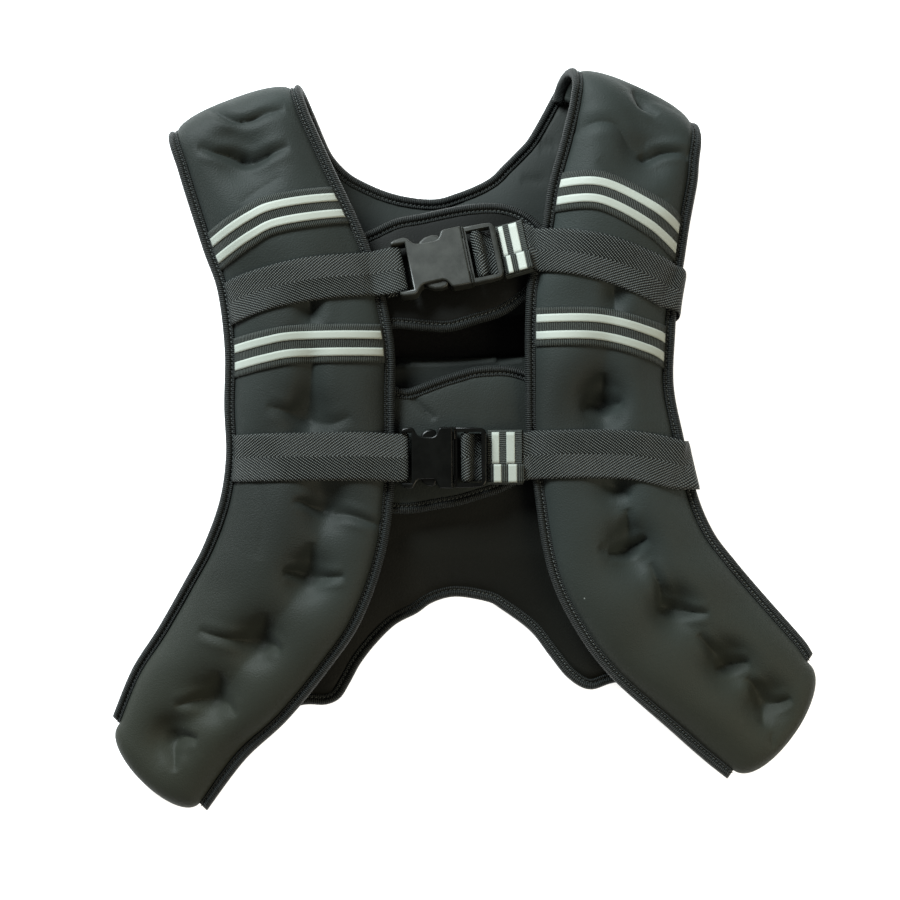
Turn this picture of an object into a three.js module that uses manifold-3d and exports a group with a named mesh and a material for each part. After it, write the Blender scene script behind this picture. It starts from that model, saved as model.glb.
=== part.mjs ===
// Weighted vest lying on its back, front up, neck towards +Y. Millimetres, +Z up, resting on z 0.
import * as THREE from "three";
import Module from "manifold-3d";

const wasm = await Module();
wasm.setup();

// Named sizes.
const VEST_LENGTH = 482;
const VEST_WIDTH = 461;
const STACK_HEIGHT = 56;
const PAD_WIDTH = 108;
const PAD_CROWN = 24;
const PAD_EDGE = 3.2;
const BINDING_WIDTH = 6.3;
const BINDING_HEIGHT = 6.2;
const BINDING_END = 3;
const BACK_EDGE = 4.6;
const FLAP_THICKNESS = 5;
const WEBBING_WIDTH = 32;
const WEBBING_THICKNESS = 1.4;
const BAND_WIDTH = 24.6;
const BAND_THICKNESS = 1;
const STRIPE_WIDTH = 5.2;
const STRIPE_OFFSET = 5.4;
const STRIPE_THICKNESS = 0.7;
const BUCKLE_LENGTH = 67.5;
const BUCKLE_WIDTH = 39.3;
const BUCKLE_THICKNESS = 11;
const KEEPER_WALL = 1.1;
const GAP = 0.3;
const LAY_CLEARANCE = 0.8;

const PAD_COLUMNS = ["x", "y", "width", "turn", "left", "right", "up", "down"];
// Stations from the wing end to the shoulder. x, y: centre, shares of vest width and length. width: share of
// pad width. turn: degrees. left, right: seam heights, shares of stack height. up, down: shares of pad crown.
const PADS = {
  left: {
    bulge: 0.148,
    heading: 110.5,
    drift: [0.005, 0.002],
    stations: table(PAD_COLUMNS, [
      [-0.4324, -0.4365, 0.81, -44.7, 0.14, 0.17, 0.56, 0.27],
      [-0.3906, -0.3687, 0.88, -38.4, 0.16, 0.28, 0.64, 0.27],
      [-0.3409, -0.3126, 0.96, -34.4, 0.23, 0.44, 0.68, 0.27],
      [-0.2902, -0.2438, 1.02, -30.5, 0.36, 0.55, 0.68, 0.27],
      [-0.2542, -0.1877, 1.05, -25.0, 0.46, 0.59, 0.66, 0.27],
      [-0.2260, -0.1120, 1.04, -17.1, 0.52, 0.61, 0.66, 0.27],
      [-0.2152, -0.0343, 1.02, -8.3, 0.55, 0.63, 0.60, 0.25],
      [-0.2162, 0.0473, 1.02, -1.0, 0.57, 0.64, 0.66, 0.25],
      [-0.2162, 0.1270, 1.01, 2.3, 0.61, 0.66, 0.60, 0.25],
      [-0.2308, 0.2106, 0.97, 5.8, 0.64, 0.70, 0.56, 0.25],
      [-0.2523, 0.2676, 0.95, 8.5, 0.68, 0.72, 0.58, 0.25],
      [-0.2825, 0.3394, 0.89, 13.3, 0.71, 0.73, 0.56, 0.25],
      [-0.3039, 0.3915, 0.85, 20.5, 0.73, 0.73, 0.48, 0.23],
      [-0.3107, 0.4092, 0.845, 20.5, 0.73, 0.73, 0.36, 0.21],
    ]),
  },
  right: {
    bulge: 0.176,
    heading: 80,
    drift: [-0.022, 0.004],
    stations: table(PAD_COLUMNS, [
      [0.4344, -0.3726, 0.92, 55.4, 0.17, 0.14, 0.56, 0.27],
      [0.3857, -0.3274, 0.97, 39.2, 0.28, 0.16, 0.64, 0.27],
      [0.3107, -0.2566, 1.04, 31.5, 0.44, 0.23, 0.68, 0.27],
      [0.2678, -0.2054, 1.05, 23.0, 0.55, 0.36, 0.68, 0.27],
      [0.2338, -0.1494, 1.02, 14.3, 0.59, 0.46, 0.66, 0.27],
      [0.2133, -0.0776, 0.98, 0.3, 0.61, 0.52, 0.66, 0.27],
      [0.1958, 0.0080, 0.94, -0.3, 0.63, 0.55, 0.60, 0.25],
      [0.1880, 0.0817, 0.89, -3.7, 0.64, 0.57, 0.66, 0.25],
      [0.1889, 0.1555, 0.90, -7.5, 0.66, 0.61, 0.60, 0.25],
      [0.1928, 0.2047, 0.90, -9.4, 0.70, 0.64, 0.56, 0.25],
      [0.2055, 0.2597, 0.87, -12.5, 0.72, 0.68, 0.54, 0.25],
      [0.2143, 0.3138, 0.87, -15.6, 0.73, 0.70, 0.58, 0.25],
      [0.2279, 0.3699, 0.85, -18.3, 0.73, 0.72, 0.56, 0.25],
      [0.2347, 0.4053, 0.84, -23.5, 0.73, 0.73, 0.46, 0.23],
      [0.2376, 0.4240, 0.84, -24.5, 0.73, 0.73, 0.36, 0.21],
    ]),
  },
};
// Fold of a pad over the shoulder: height of its lower seam, crown share where it meets the back panel.
const FOLD_LOW = 0.16;
const FOLD_CROWN = 0.30;
// Facets along the edges of the back panel.
const NECK_SEGMENTS = 20;
const HEM_SEGMENTS = 28;
const SIDE_SEGMENTS = 16;

// Tacked dents of the pads. x, y: shares of vest width and length. reach: share of pad width. depth: share of crown.
const DENTS = table(["x", "y", "reach", "depth"], [
  [-0.2951, 0.3728, 0.16, 0.22],
  [-0.2123, 0.1732, 0.10, 0.14],
  [-0.2172, 0.0267, 0.13, 0.26],
  [-0.1919, -0.0874, 0.12, 0.24],
  [-0.2172, -0.1789, 0.13, 0.26],
  [-0.2883, -0.2654, 0.13, 0.28],
  [-0.3506, -0.3401, 0.13, 0.26],
  [-0.4081, -0.3952, 0.12, 0.24],
  [0.2484, 0.4584, 0.12, 0.16],
  [0.2542, 0.3748, 0.14, 0.20],
  [0.2620, 0.3178, 0.12, 0.10],
  [0.2055, 0.1860, 0.10, 0.14],
  [0.1928, 0.0493, 0.13, 0.34],
  [0.2133, -0.0569, 0.11, 0.22],
  [0.2299, -0.1425, 0.13, 0.30],
  [0.2961, -0.2241, 0.13, 0.28],
  [0.3691, -0.2979, 0.13, 0.26],
  [0.4227, -0.3510, 0.12, 0.26],
]);

// Back panel, outside edge of its bindings. x, y: shares of vest width and length.
const NECKLINE = table(["x", "y"], [
  [-0.2055, 0.4210],
  [-0.1938, 0.4013],
  [-0.1812, 0.3827],
  [-0.1656, 0.3679],
  [-0.1480, 0.3571],
  [-0.1130, 0.3423],
  [-0.0760, 0.3335],
  [-0.0399, 0.3315],
  [-0.0107, 0.3394],
  [0.0156, 0.3492],
  [0.0380, 0.3610],
  [0.0545, 0.3768],
  [0.0730, 0.3945],
  [0.0935, 0.4171],
  [0.1081, 0.4387],
]);
const BACK_EDGE_RUN = table(["x", "y"], [
  [-0.3988, 0.3777],
  [-0.3477, 0.2991],
  [-0.3088, 0.1929],
  [-0.2932, 0.1112],
  [-0.2883, 0.0158],
  [-0.3049, -0.0795],
  [-0.3506, -0.2015],
  [-0.3779, -0.2703],
  [-0.3691, -0.3136],
  [-0.3263, -0.3588],
  [-0.2766, -0.3687],
  [-0.2279, -0.3588],
  [-0.1982, -0.3588],
  [-0.1773, -0.3500],
  [-0.1627, -0.3283],
  [-0.1480, -0.3028],
  [-0.1266, -0.2762],
  [-0.0984, -0.2497],
  [-0.0672, -0.2339],
  [-0.0448, -0.2192],
  [-0.0117, -0.2113],
  [0.0331, -0.2182],
  [0.0506, -0.2271],
  [0.0935, -0.2575],
  [0.1217, -0.2920],
  [0.1480, -0.3224],
  [0.1792, -0.3382],
  [0.2191, -0.3283],
  [0.2717, -0.3372],
  [0.3214, -0.3333],
  [0.3584, -0.3018],
  [0.3623, -0.2566],
  [0.3360, -0.2015],
  [0.2961, -0.1061],
  [0.2717, 0.0158],
  [0.2659, 0.1112],
  [0.2717, 0.2066],
  [0.2912, 0.2991],
  [0.3058, 0.3895],
]);
// Filling of the back panel above its edge. y: share of vest length. rise: share of pad crown.
const BACK_FILL = table(["y", "rise"], [
  [-0.3696, 0.10],
  [-0.2910, 0.15],
  [-0.2221, 0.28],
  [-0.1533, 0.55],
  [-0.0648, 0.68],
  [0.0434, 0.62],
  [0.0945, 0.50],
  [0.1142, 0.20],
  [0.2007, 0.24],
  [0.3187, 0.26],
  [0.4662, 0.16],
]);
const BACK_FILL_REACH = 13;

const FLAP_COLUMNS = ["x", "low", "high", "lowZ", "highZ"];
// Flaps behind the buckles. x: share of vest width. low, high: y of both edges, shares of vest length.
// lowZ, highZ: heights of the two edges, shares of stack height.
const FLAPS = {
  upper: table(FLAP_COLUMNS, [
    [-0.1441, 0.1496, 0.2779, 0.52, 0.44],
    [-0.1198, 0.1496, 0.2882, 0.54, 0.44],
    [-0.0925, 0.1506, 0.3000, 0.57, 0.44],
    [-0.0575, 0.1476, 0.3064, 0.60, 0.44],
    [-0.0224, 0.1461, 0.3138, 0.61, 0.44],
    [0.0117, 0.1555, 0.3192, 0.60, 0.44],
    [0.0467, 0.1663, 0.3202, 0.56, 0.43],
    [0.0750, 0.1845, 0.3128, 0.52, 0.42],
    [0.0964, 0.2056, 0.2981, 0.48, 0.41],
    [0.1159, 0.2283, 0.2760, 0.45, 0.41],
  ]),
  lower: table(FLAP_COLUMNS, [
    [-0.1266, -0.0953, 0.0744, 0.49, 0.48],
    [-0.0984, -0.0963, 0.0734, 0.50, 0.49],
    [-0.0750, -0.0963, 0.0719, 0.51, 0.50],
    [-0.0380, -0.0904, 0.0847, 0.52, 0.51],
    [-0.0097, -0.0854, 0.0935, 0.52, 0.51],
    [0.0166, -0.0781, 0.1004, 0.51, 0.50],
    [0.0429, -0.0702, 0.1024, 0.49, 0.49],
    [0.0643, -0.0604, 0.1014, 0.47, 0.47],
    [0.0857, -0.0481, 0.0945, 0.45, 0.45],
    [0.1071, -0.0294, 0.0788, 0.43, 0.43],
    [0.1276, 0.0090, 0.0493, 0.42, 0.42],
  ]),
};

// Ribbed bands across the pads, centre lines. x, y: shares of vest width and length.
const BANDS = {
  upper_left: { pad: "left", line: [[-0.3458, 0.2519], [-0.2932, 0.2833], [-0.2542, 0.2991], [-0.1617, 0.3138]] },
  lower_left: { pad: "left", line: [[-0.3175, 0.1112], [-0.2737, 0.1211], [-0.2269, 0.1280], [-0.1149, 0.1299]] },
  upper_right: { pad: "right", line: [[0.1217, 0.3286], [0.1860, 0.3286], [0.2552, 0.2971], [0.2990, 0.2646]] },
  lower_right: { pad: "right", line: [[0.0993, 0.1516], [0.1860, 0.1506], [0.2552, 0.1339], [0.2863, 0.1201]] },
};

// Buckles. x, y, z: slotted end of the female half, shares of width, length, stack height. turn, tilt: degrees.
// rise: climb of the webbing through the keeper, millimetres.
const BUCKLES = {
  upper: { body: 1, keeper: 17.6, x: -0.0957, y: 0.2252, z: 0.77, turn: 11.4, tilt: 14, rise: 4.2 },
  lower: { body: 0.72, keeper: 21.8, x: -0.1159, y: -0.0217, z: 0.725, turn: 0.4, tilt: 0, rise: 3.4 },
};
const CLIP_BAR = 3;
const BODY_END = 46;
const LADDER_BAR = 54.5;
const KEEPER_START = 68.9;

// Webbing on the pads, centre lines. x, y: shares of vest width and length. span: share of webbing width.
const STRAP_COLUMNS = ["x", "y", "lean", "span"];
const STRAPS = {
  upper_left: table(STRAP_COLUMNS, [
    [-0.3200, 0.1855, 14, 0.84],
    [-0.2990, 0.1938, 14, 0.84],
    [-0.2674, 0.2027, 11, 0.84],
    [-0.2262, 0.2111, 8, 0.86],
    [-0.1909, 0.2160, 6, 0.86],
    [-0.1576, 0.2189, 4, 0.86],
    [-0.1295, 0.2214, 6, 0.88],
  ]),
  lower_left: table(STRAP_COLUMNS, [
    [-0.3175, -0.0225, 3, 0.93],
    [-0.2834, -0.0210, 1, 0.95],
    [-0.2265, -0.0202, 0, 0.96],
    [-0.1763, -0.0196, 0, 0.97],
    [-0.1325, -0.0196, 0, 0.97],
  ]),
  upper_right: table(STRAP_COLUMNS, [
    [0.1000, 0.2528, 2, 0.86],
    [0.1159, 0.2524, -2, 0.86],
    [0.1451, 0.2499, -7, 0.88],
    [0.1858, 0.2424, -13, 0.90],
    [0.2230, 0.2312, -18, 0.90],
    [0.2620, 0.2155, -22, 0.90],
    [0.2815, 0.2047, -25, 0.90],
  ]),
  lower_right: table(STRAP_COLUMNS, [
    [0.0925, -0.0178, 0, 0.97],
    [0.1256, -0.0169, 0, 0.97],
    [0.1743, -0.0163, 0, 0.98],
    [0.2260, -0.0178, -3, 0.98],
    [0.2620, -0.0229, -9, 0.99],
    [0.2990, -0.0318, -16, 1.00],
  ]),
};
// Turn of the right webbing round the pad edge: bend radius, run below towards the back panel, drop, sideways run.
const WRAPS = {
  upper_right: { radius: 5.6, inward: 4, drop: 22, slip: 8 },
  lower_right: { radius: 5.6, inward: 6, drop: 17, slip: 0 },
};
// Least height of the right webbing beside the keepers, shares of stack height.
const STRAP_FLOOR = { upper: 0.74, lower: 0.68 };

const NEOPRENE = material(0x23292a, 0.86, 0);
const BACK_NEOPRENE = material(0x1f2526, 0.88, 0);
const TAPE = material(0x151819, 0.8, 0);
const WEBBING = material(0x17191b, 0.75, 0);
const REFLECTIVE = material(0xc9c8bd, 0.42, 0.2);
const SATIN_PLASTIC = material(0x3a3c3b, 0.45, 0);
const BLACK_PLASTIC = material(0x101112, 0.35, 0);
const ELASTIC = material(0x1c1e1e, 0.8, 0);

function table(columns, rows) {
  return rows.map((row) => Object.fromEntries(columns.map((name, i) => [name, row[i]])));
}

function material(color, roughness, metalness) {
  return new THREE.MeshStandardMaterial({ color, roughness, metalness });
}

/** Value of one column at a fractional row, through a Catmull-Rom cubic. */
function smooth(rows, column, at) {
  const last = rows.length - 1;
  const i = Math.max(0, Math.min(last - 1, Math.floor(at)));
  const f = at - i;
  const [a, b, c, d] = [-1, 0, 1, 2].map((k) => rows[Math.max(0, Math.min(last, i + k))][column]);
  return b + 0.5 * f * (c - a + f * (2 * a - 5 * b + 4 * c - d + f * (3 * (b - c) + d - a)));
}

/** Value of one column where the key column has the given value, linear between rows. */
function lookUp(rows, key, column, value) {
  let i = 1;
  while (i < rows.length - 1 && rows[i][key] < value) i += 1;
  const f = THREE.MathUtils.clamp((value - rows[i - 1][key]) / (rows[i][key] - rows[i - 1][key]), 0, 1);
  return THREE.MathUtils.lerp(rows[i - 1][column], rows[i][column], f);
}

/** Closed solid through a list of rings with the same number of points. */
function loft(rings) {
  const count = rings[0].length;
  const points = rings.flat();
  const index = [];
  for (let i = 0; i < rings.length - 1; i += 1) {
    for (let j = 0; j < count; j += 1) {
      const a = i * count + j;
      const b = i * count + ((j + 1) % count);
      index.push(a, b, b + count, a, b + count, a + count);
    }
  }
  for (const [first, flip] of [[0, true], [(rings.length - 1) * count, false]]) {
    const centre = new THREE.Vector3();
    for (let j = 0; j < count; j += 1) centre.addScaledVector(points[first + j], 1 / count);
    points.push(centre);
    const hub = points.length - 1;
    for (let j = 0; j < count; j += 1) {
      const a = first + j;
      const b = first + ((j + 1) % count);
      if (flip) index.push(hub, b, a);
      else index.push(hub, a, b);
    }
  }
  return solid(points, index);
}

function solid(points, index) {
  const geometry = new THREE.BufferGeometry();
  geometry.setAttribute("position", new THREE.Float32BufferAttribute(points.flatMap((p) => p.toArray()), 3));
  geometry.setIndex(index);
  if (signedVolume(points, index) < 0) {
    for (let i = 0; i < index.length; i += 3) {
      [index[i + 1], index[i + 2]] = [index[i + 2], index[i + 1]];
    }
    geometry.setIndex(index);
  }
  geometry.computeVertexNormals();
  return geometry;
}

function signedVolume(points, index) {
  let total = 0;
  const cross = new THREE.Vector3();
  for (let i = 0; i < index.length; i += 3) {
    cross.crossVectors(points[index[i + 1]], points[index[i + 2]]);
    total += points[index[i]].dot(cross);
  }
  return total;
}

/** Height of a filled cushion over its chord, 0 at both seams and 1 in the middle. */
function pillow(s) {
  return Math.pow(Math.max(0, 1 - Math.pow(Math.abs(2 * s - 1), 2.6)), 0.62);
}

/** Frame of a pad at a station: seam ends, upward normal and crowns. Below 0 is the wing end, past the
    last station the half turn over the shoulder, one unit being the whole turn. */
function padFrame(pad, at) {
  const last = pad.stations.length - 1;
  const t = THREE.MathUtils.clamp(at, 0, last);
  const value = (column) => smooth(pad.stations, column, t);
  const turn = THREE.MathUtils.degToRad(value("turn"));
  const centre = new THREE.Vector3(value("x") * VEST_WIDTH, value("y") * VEST_LENGTH, 0);
  const chord = new THREE.Vector3(Math.cos(turn), Math.sin(turn), 0);
  let half = value("width") * PAD_WIDTH * 0.5;
  let up = value("up") * PAD_CROWN;
  let down = value("down") * PAD_CROWN;
  let edge = PAD_EDGE * 0.5;
  let leftZ = value("left") * STACK_HEIGHT;
  let rightZ = value("right") * STACK_HEIGHT;
  const normal = new THREE.Vector3(0, 0, 1);
  if (at < 0) {
    const out = Math.sin(-at * Math.PI * 0.5);
    const shrink = Math.pow(Math.max(0, 1 - Math.pow(out, 2.3)), 1 / 2.3);
    centre.addScaledVector(new THREE.Vector3(chord.y, -chord.x, 0), out * pad.bulge * PAD_WIDTH);
    half = Math.max(0.1, shrink) * (half - BINDING_WIDTH) + BINDING_WIDTH;
    up *= Math.max(0.16, shrink);
    down *= Math.max(0.3, shrink);
    edge *= 1 + 1.2 * (1 - Math.max(0.3, shrink));
    leftZ = THREE.MathUtils.lerp(leftZ, 6, out);
    rightZ = THREE.MathUtils.lerp(rightZ, 6, out);
  }
  if (at > last) {
    const angle = (at - last) * Math.PI;
    const heading = THREE.MathUtils.degToRad(pad.heading);
    const ahead = new THREE.Vector3(Math.cos(heading), Math.sin(heading), 0);
    const radius = (leftZ - FOLD_LOW * STACK_HEIGHT) * 0.5;
    const under = (1 - Math.cos(angle)) * 0.5;
    centre.addScaledVector(ahead, radius * Math.sin(angle));
    centre.x += pad.drift[0] * VEST_WIDTH * under;
    centre.y += pad.drift[1] * VEST_LENGTH * under;
    leftZ -= 2 * radius * under;
    rightZ -= 2 * radius * under;
    normal.set(ahead.x * Math.sin(angle), ahead.y * Math.sin(angle), Math.cos(angle));
    up = THREE.MathUtils.lerp(up, FOLD_CROWN * PAD_CROWN, under);
  }
  const left = centre.clone().addScaledVector(chord, -half).setZ(leftZ);
  const right = centre.clone().addScaledVector(chord, half).setZ(rightZ);
  const across = right.clone().sub(left).normalize();
  normal.addScaledVector(across, -normal.dot(across)).normalize();
  return { left, right, across, normal, up, down, edge, folded: at > last };
}

function dentDepth(x, y) {
  let depth = 0;
  for (const dent of DENTS) {
    const reach = dent.reach * PAD_WIDTH;
    const far = Math.hypot(x - dent.x * VEST_WIDTH, y - dent.y * VEST_LENGTH) / reach;
    depth += dent.depth * PAD_CROWN * Math.exp(-far * far);
  }
  return depth;
}

/** Point of a pad: s across it from its left seam to its right one, lifted off the surface. */
function padPoint(pad, at, s, upper, lift = 0) {
  const frame = padFrame(pad, at);
  const inset = BINDING_WIDTH + GAP;
  const length = frame.right.distanceTo(frame.left) - 2 * inset;
  const point = frame.left.clone().addScaledVector(frame.across, inset + s * length);
  const crown = (upper ? frame.up : frame.down) * pillow(s);
  let height = frame.edge + crown + lift;
  if (upper && !frame.folded) height -= Math.min(dentDepth(point.x, point.y), 0.7 * crown);
  point.addScaledVector(frame.normal, upper ? height : -height);
  point.z = Math.max(point.z, 0);
  return point;
}

function padStops(pad) {
  const last = pad.stations.length - 1;
  const stops = [-1, -0.82, -0.62, -0.4, -0.18];
  for (let t = 0; t < last; t += 0.5) stops.push(t);
  for (let k = 0; k <= 8; k += 1) stops.push(last + k / 8);
  return stops;
}

function spread(count, power) {
  return Array.from({ length: count + 1 }, (_, i) => {
    const v = (2 * i) / count - 1;
    return 0.5 + 0.5 * Math.sign(v) * (1 - Math.pow(1 - Math.abs(v), power));
  });
}

function padGeometry(pad) {
  const above = spread(10, 1.5);
  const below = spread(4, 1.3).reverse();
  const rings = padStops(pad).map((at) => [
    ...above.map((s) => padPoint(pad, at, s, true)),
    ...below.map((s) => padPoint(pad, at, s, false)),
  ]);
  return loft(rings);
}

/** Rolled binding along an edge: foot is the piece's edge, out points away from it. */
function bindingRing(foot, out, up) {
  const high = BINDING_HEIGHT * 0.5;
  const wide = BINDING_WIDTH;
  const section = [[0, 0.8], [0.45, 1], [1, 0], [0.45, -1], [0, -0.8]];
  return section.map(([u, v]) => {
    const point = foot.clone().addScaledVector(out, GAP + u * (wide - GAP)).addScaledVector(up, v * high);
    point.z = Math.max(point.z, 0);
    return point;
  });
}

function padBinding(pad, rightSide) {
  const rings = padStops(pad).filter((at) => at >= 0).map((at) => {
    const frame = padFrame(pad, at);
    const end = rightSide ? frame.right : frame.left;
    const out = frame.across.clone().multiplyScalar(rightSide ? 1 : -1);
    return bindingRing(end.clone().addScaledVector(out, -BINDING_WIDTH), out, frame.normal);
  });
  return loft(rings);
}

/** Station and share across a pad under a plan point, found on its seam chords. */
function locate(pad, x, y) {
  let low = 0;
  let high = pad.stations.length - 1;
  for (let k = 0; k < 26; k += 1) {
    const middle = (low + high) * 0.5;
    const frame = padFrame(pad, middle);
    const ahead = frame.across.x * (y - frame.left.y) - frame.across.y * (x - frame.left.x);
    if (ahead > 0) low = middle;
    else high = middle;
  }
  const frame = padFrame(pad, low);
  const along = frame.across.x * (x - frame.left.x) + frame.across.y * (y - frame.left.y);
  return { at: low, along, length: frame.right.distanceTo(frame.left), frame };
}

/** Height of the top of a pad or of its bindings over a plan point. */
function topHeight(pad, x, y) {
  const spot = locate(pad, x, y);
  const f = THREE.MathUtils.clamp(spot.along / spot.length, 0, 1);
  const seam = THREE.MathUtils.lerp(spot.frame.left.z, spot.frame.right.z, f);
  if (spot.along < -1 || spot.along > spot.length + 1) return 0;
  const inset = BINDING_WIDTH + GAP;
  const s = (spot.along - inset) / (spot.length - 2 * inset);
  const roll = seam + BINDING_HEIGHT * 0.5;
  if (s <= 0.02 || s >= 0.98) return roll;
  return padPoint(pad, spot.at, s, true).z;
}

function planCurve(line) {
  const curve = new THREE.SplineCurve(line.map(([x, y]) => new THREE.Vector2(x * VEST_WIDTH, y * VEST_LENGTH)));
  const points = curve.getPoints(60);
  return (x) => {
    let i = 1;
    while (i < points.length - 1 && points[i].x < x) i += 1;
    const f = (x - points[i - 1].x) / (points[i].x - points[i - 1].x);
    return THREE.MathUtils.lerp(points[i - 1].y, points[i].y, f);
  };
}

/** Strip that lies across a pad along a plan curve, between two sideways offsets and two lifts. */
function acrossPad(pad, height, offsets, lifts, reach) {
  const station = (s, offset) => {
    let low = 0;
    let high = pad.stations.length - 1;
    for (let k = 0; k < 24; k += 1) {
      const middle = (low + high) * 0.5;
      const frame = padFrame(pad, middle);
      const point = frame.left.clone().lerp(frame.right, s);
      const slope = height(point.x + 4) - height(point.x - 4);
      const stretch = Math.hypot(8, slope) / 8;
      if (point.y < height(point.x) + offset * stretch) low = middle;
      else high = middle;
    }
    return low;
  };
  const steps = 10;
  const rings = [];
  for (let k = 0; k <= steps; k += 1) {
    const v = (2 * k) / steps - 1;
    const s = 0.5 + 0.5 * Math.sign(v) * (1 - Math.pow(1 - Math.abs(v), 1.5)) * reach;
    const stops = offsets.map((offset) => station(s, offset));
    rings.push([
      ...stops.map((at) => padPoint(pad, at, s, true, lifts[0])),
      ...stops.slice().reverse().map((at) => padPoint(pad, at, s, true, lifts[1])),
    ]);
  }
  return loft(rings);
}

/** Webbing frame ring: three points across on each face. */
function ribbonRing(points, normal) {
  const half = normal.clone().multiplyScalar(WEBBING_THICKNESS * 0.5);
  return [
    ...points.map((point) => point.clone().sub(half)),
    ...points.slice().reverse().map((point) => point.clone().add(half)),
  ];
}

function flatRing(centre, across, normal, half) {
  return ribbonRing([-1, 0, 1].map((v) => centre.clone().addScaledVector(across, v * half)), normal);
}

/** Rings of webbing that lies on a pad, at the listed plan points. */
function layWebbing(pad, rows, floor) {
  const rings = [];
  const steps = (rows.length - 1) * 2;
  for (let k = 0; k <= steps; k += 1) {
    const at = k / 2;
    const x = smooth(rows, "x", at) * VEST_WIDTH;
    const y = smooth(rows, "y", at) * VEST_LENGTH;
    const lean = THREE.MathUtils.degToRad(smooth(rows, "lean", at));
    const half = smooth(rows, "span", at) * WEBBING_WIDTH * 0.5;
    const points = [-1, 0, 1].map((v) => {
      const px = x + Math.sin(lean) * v * half;
      const py = y - Math.cos(lean) * v * half;
      let z = floor;
      for (const [dx, dy] of [[0, 0], [-5, 0], [5, 0], [0, -5], [0, 5]]) {
        z = Math.max(z, topHeight(pad, px + dx, py + dy));
      }
      return new THREE.Vector3(px, py, z + LAY_CLEARANCE + WEBBING_THICKNESS * 0.5);
    });
    rings.push(ribbonRing(points, new THREE.Vector3(0, 0, 1)));
  }
  return rings;
}

/** Axes of a buckle: a along it, b across it towards the neck, c up out of it. */
function buckleFrame(buckle) {
  const turn = THREE.MathUtils.degToRad(buckle.turn);
  const tilt = THREE.MathUtils.degToRad(buckle.tilt);
  const a = new THREE.Vector3(Math.cos(turn), Math.sin(turn), 0);
  const flat = new THREE.Vector3(-Math.sin(turn), Math.cos(turn), 0);
  const b = flat.clone().multiplyScalar(Math.cos(tilt)).add(new THREE.Vector3(0, 0, -Math.sin(tilt)));
  const c = a.clone().cross(b);
  const origin = new THREE.Vector3(
    buckle.x * VEST_WIDTH,
    buckle.y * VEST_LENGTH,
    buckle.z * STACK_HEIGHT,
  );
  const matrix = new THREE.Matrix4().makeBasis(a, b, c).setPosition(origin);
  const place = (u, w) => origin.clone().addScaledVector(a, u).addScaledVector(c, w);
  return { a, b, c, origin, matrix, place };
}

/** Rings of webbing along a path of points in the buckle's own plane. */
function buckleWebbing(frame, path, half) {
  return path.map(([u, w], i) => {
    const before = path[Math.max(0, i - 1)];
    const after = path[Math.min(path.length - 1, i + 1)];
    const along = new THREE.Vector2(after[0] - before[0], after[1] - before[1]).normalize();
    const normal = frame.c.clone().multiplyScalar(along.x).addScaledVector(frame.a, -along.y);
    return flatRing(frame.place(u, w), frame.b.clone().negate(), normal, half);
  });
}

function leftStrap(name) {
  const buckle = buckleFrame(BUCKLES[name]);
  const laid = layWebbing(PADS.left, STRAPS[`${name}_left`], 0);
  const radius = 3;
  const clip = alongBody(BUCKLES[name].body, CLIP_BAR);
  const path = [[clip - 9, radius], [clip - 5, radius], [clip - 1, radius]];
  for (const angle of [60, 20, -20, -60]) {
    const r = THREE.MathUtils.degToRad(angle);
    path.push([clip + radius * Math.cos(r), radius * Math.sin(r)]);
  }
  path.push([clip - 1, -radius], [clip - 6, -radius]);
  return loft([...laid, ...buckleWebbing(buckle, path, WEBBING_WIDTH * 0.48)]);
}

function keeperSlope(name) {
  return BUCKLES[name].rise / BUCKLES[name].keeper;
}

function rightStrap(name) {
  const buckle = buckleFrame(BUCKLES[name]);
  const slope = keeperSlope(name);
  const upperRun = (u) => -4.8 + Math.max(0, u - KEEPER_START) * slope;
  const lowerRun = (u) => upperRun(u) - WEBBING_THICKNESS - 0.6;
  const end = KEEPER_START + BUCKLES[name].keeper;
  const path = [[end - 1, lowerRun(end - 1)], [KEEPER_START + 6, lowerRun(KEEPER_START + 6)]];
  path.push([KEEPER_START, lowerRun(KEEPER_START)], [56.2, -6.6], [53.4, -6], [51.9, -4.4], [51.4, -2.2]);
  const radius = 2.9;
  for (const angle of [175, 130, 90, 50, 8]) {
    const r = THREE.MathUtils.degToRad(angle);
    path.push([LADDER_BAR + radius * Math.cos(r), radius * Math.sin(r)]);
  }
  path.push([58.2, -2.2], [60, -4.2], [62.5, -4.8], [KEEPER_START, -4.8]);
  path.push([end - 4, upperRun(end - 4)], [end + 0.5, upperRun(end + 0.5)]);
  const key = `${name}_right`;
  const laid = layWebbing(PADS.right, STRAPS[key], STRAP_FLOOR[name] * STACK_HEIGHT);
  return loft([...buckleWebbing(buckle, path, WEBBING_WIDTH * 0.48), ...laid, ...wrapWebbing(key)]);
}

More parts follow.
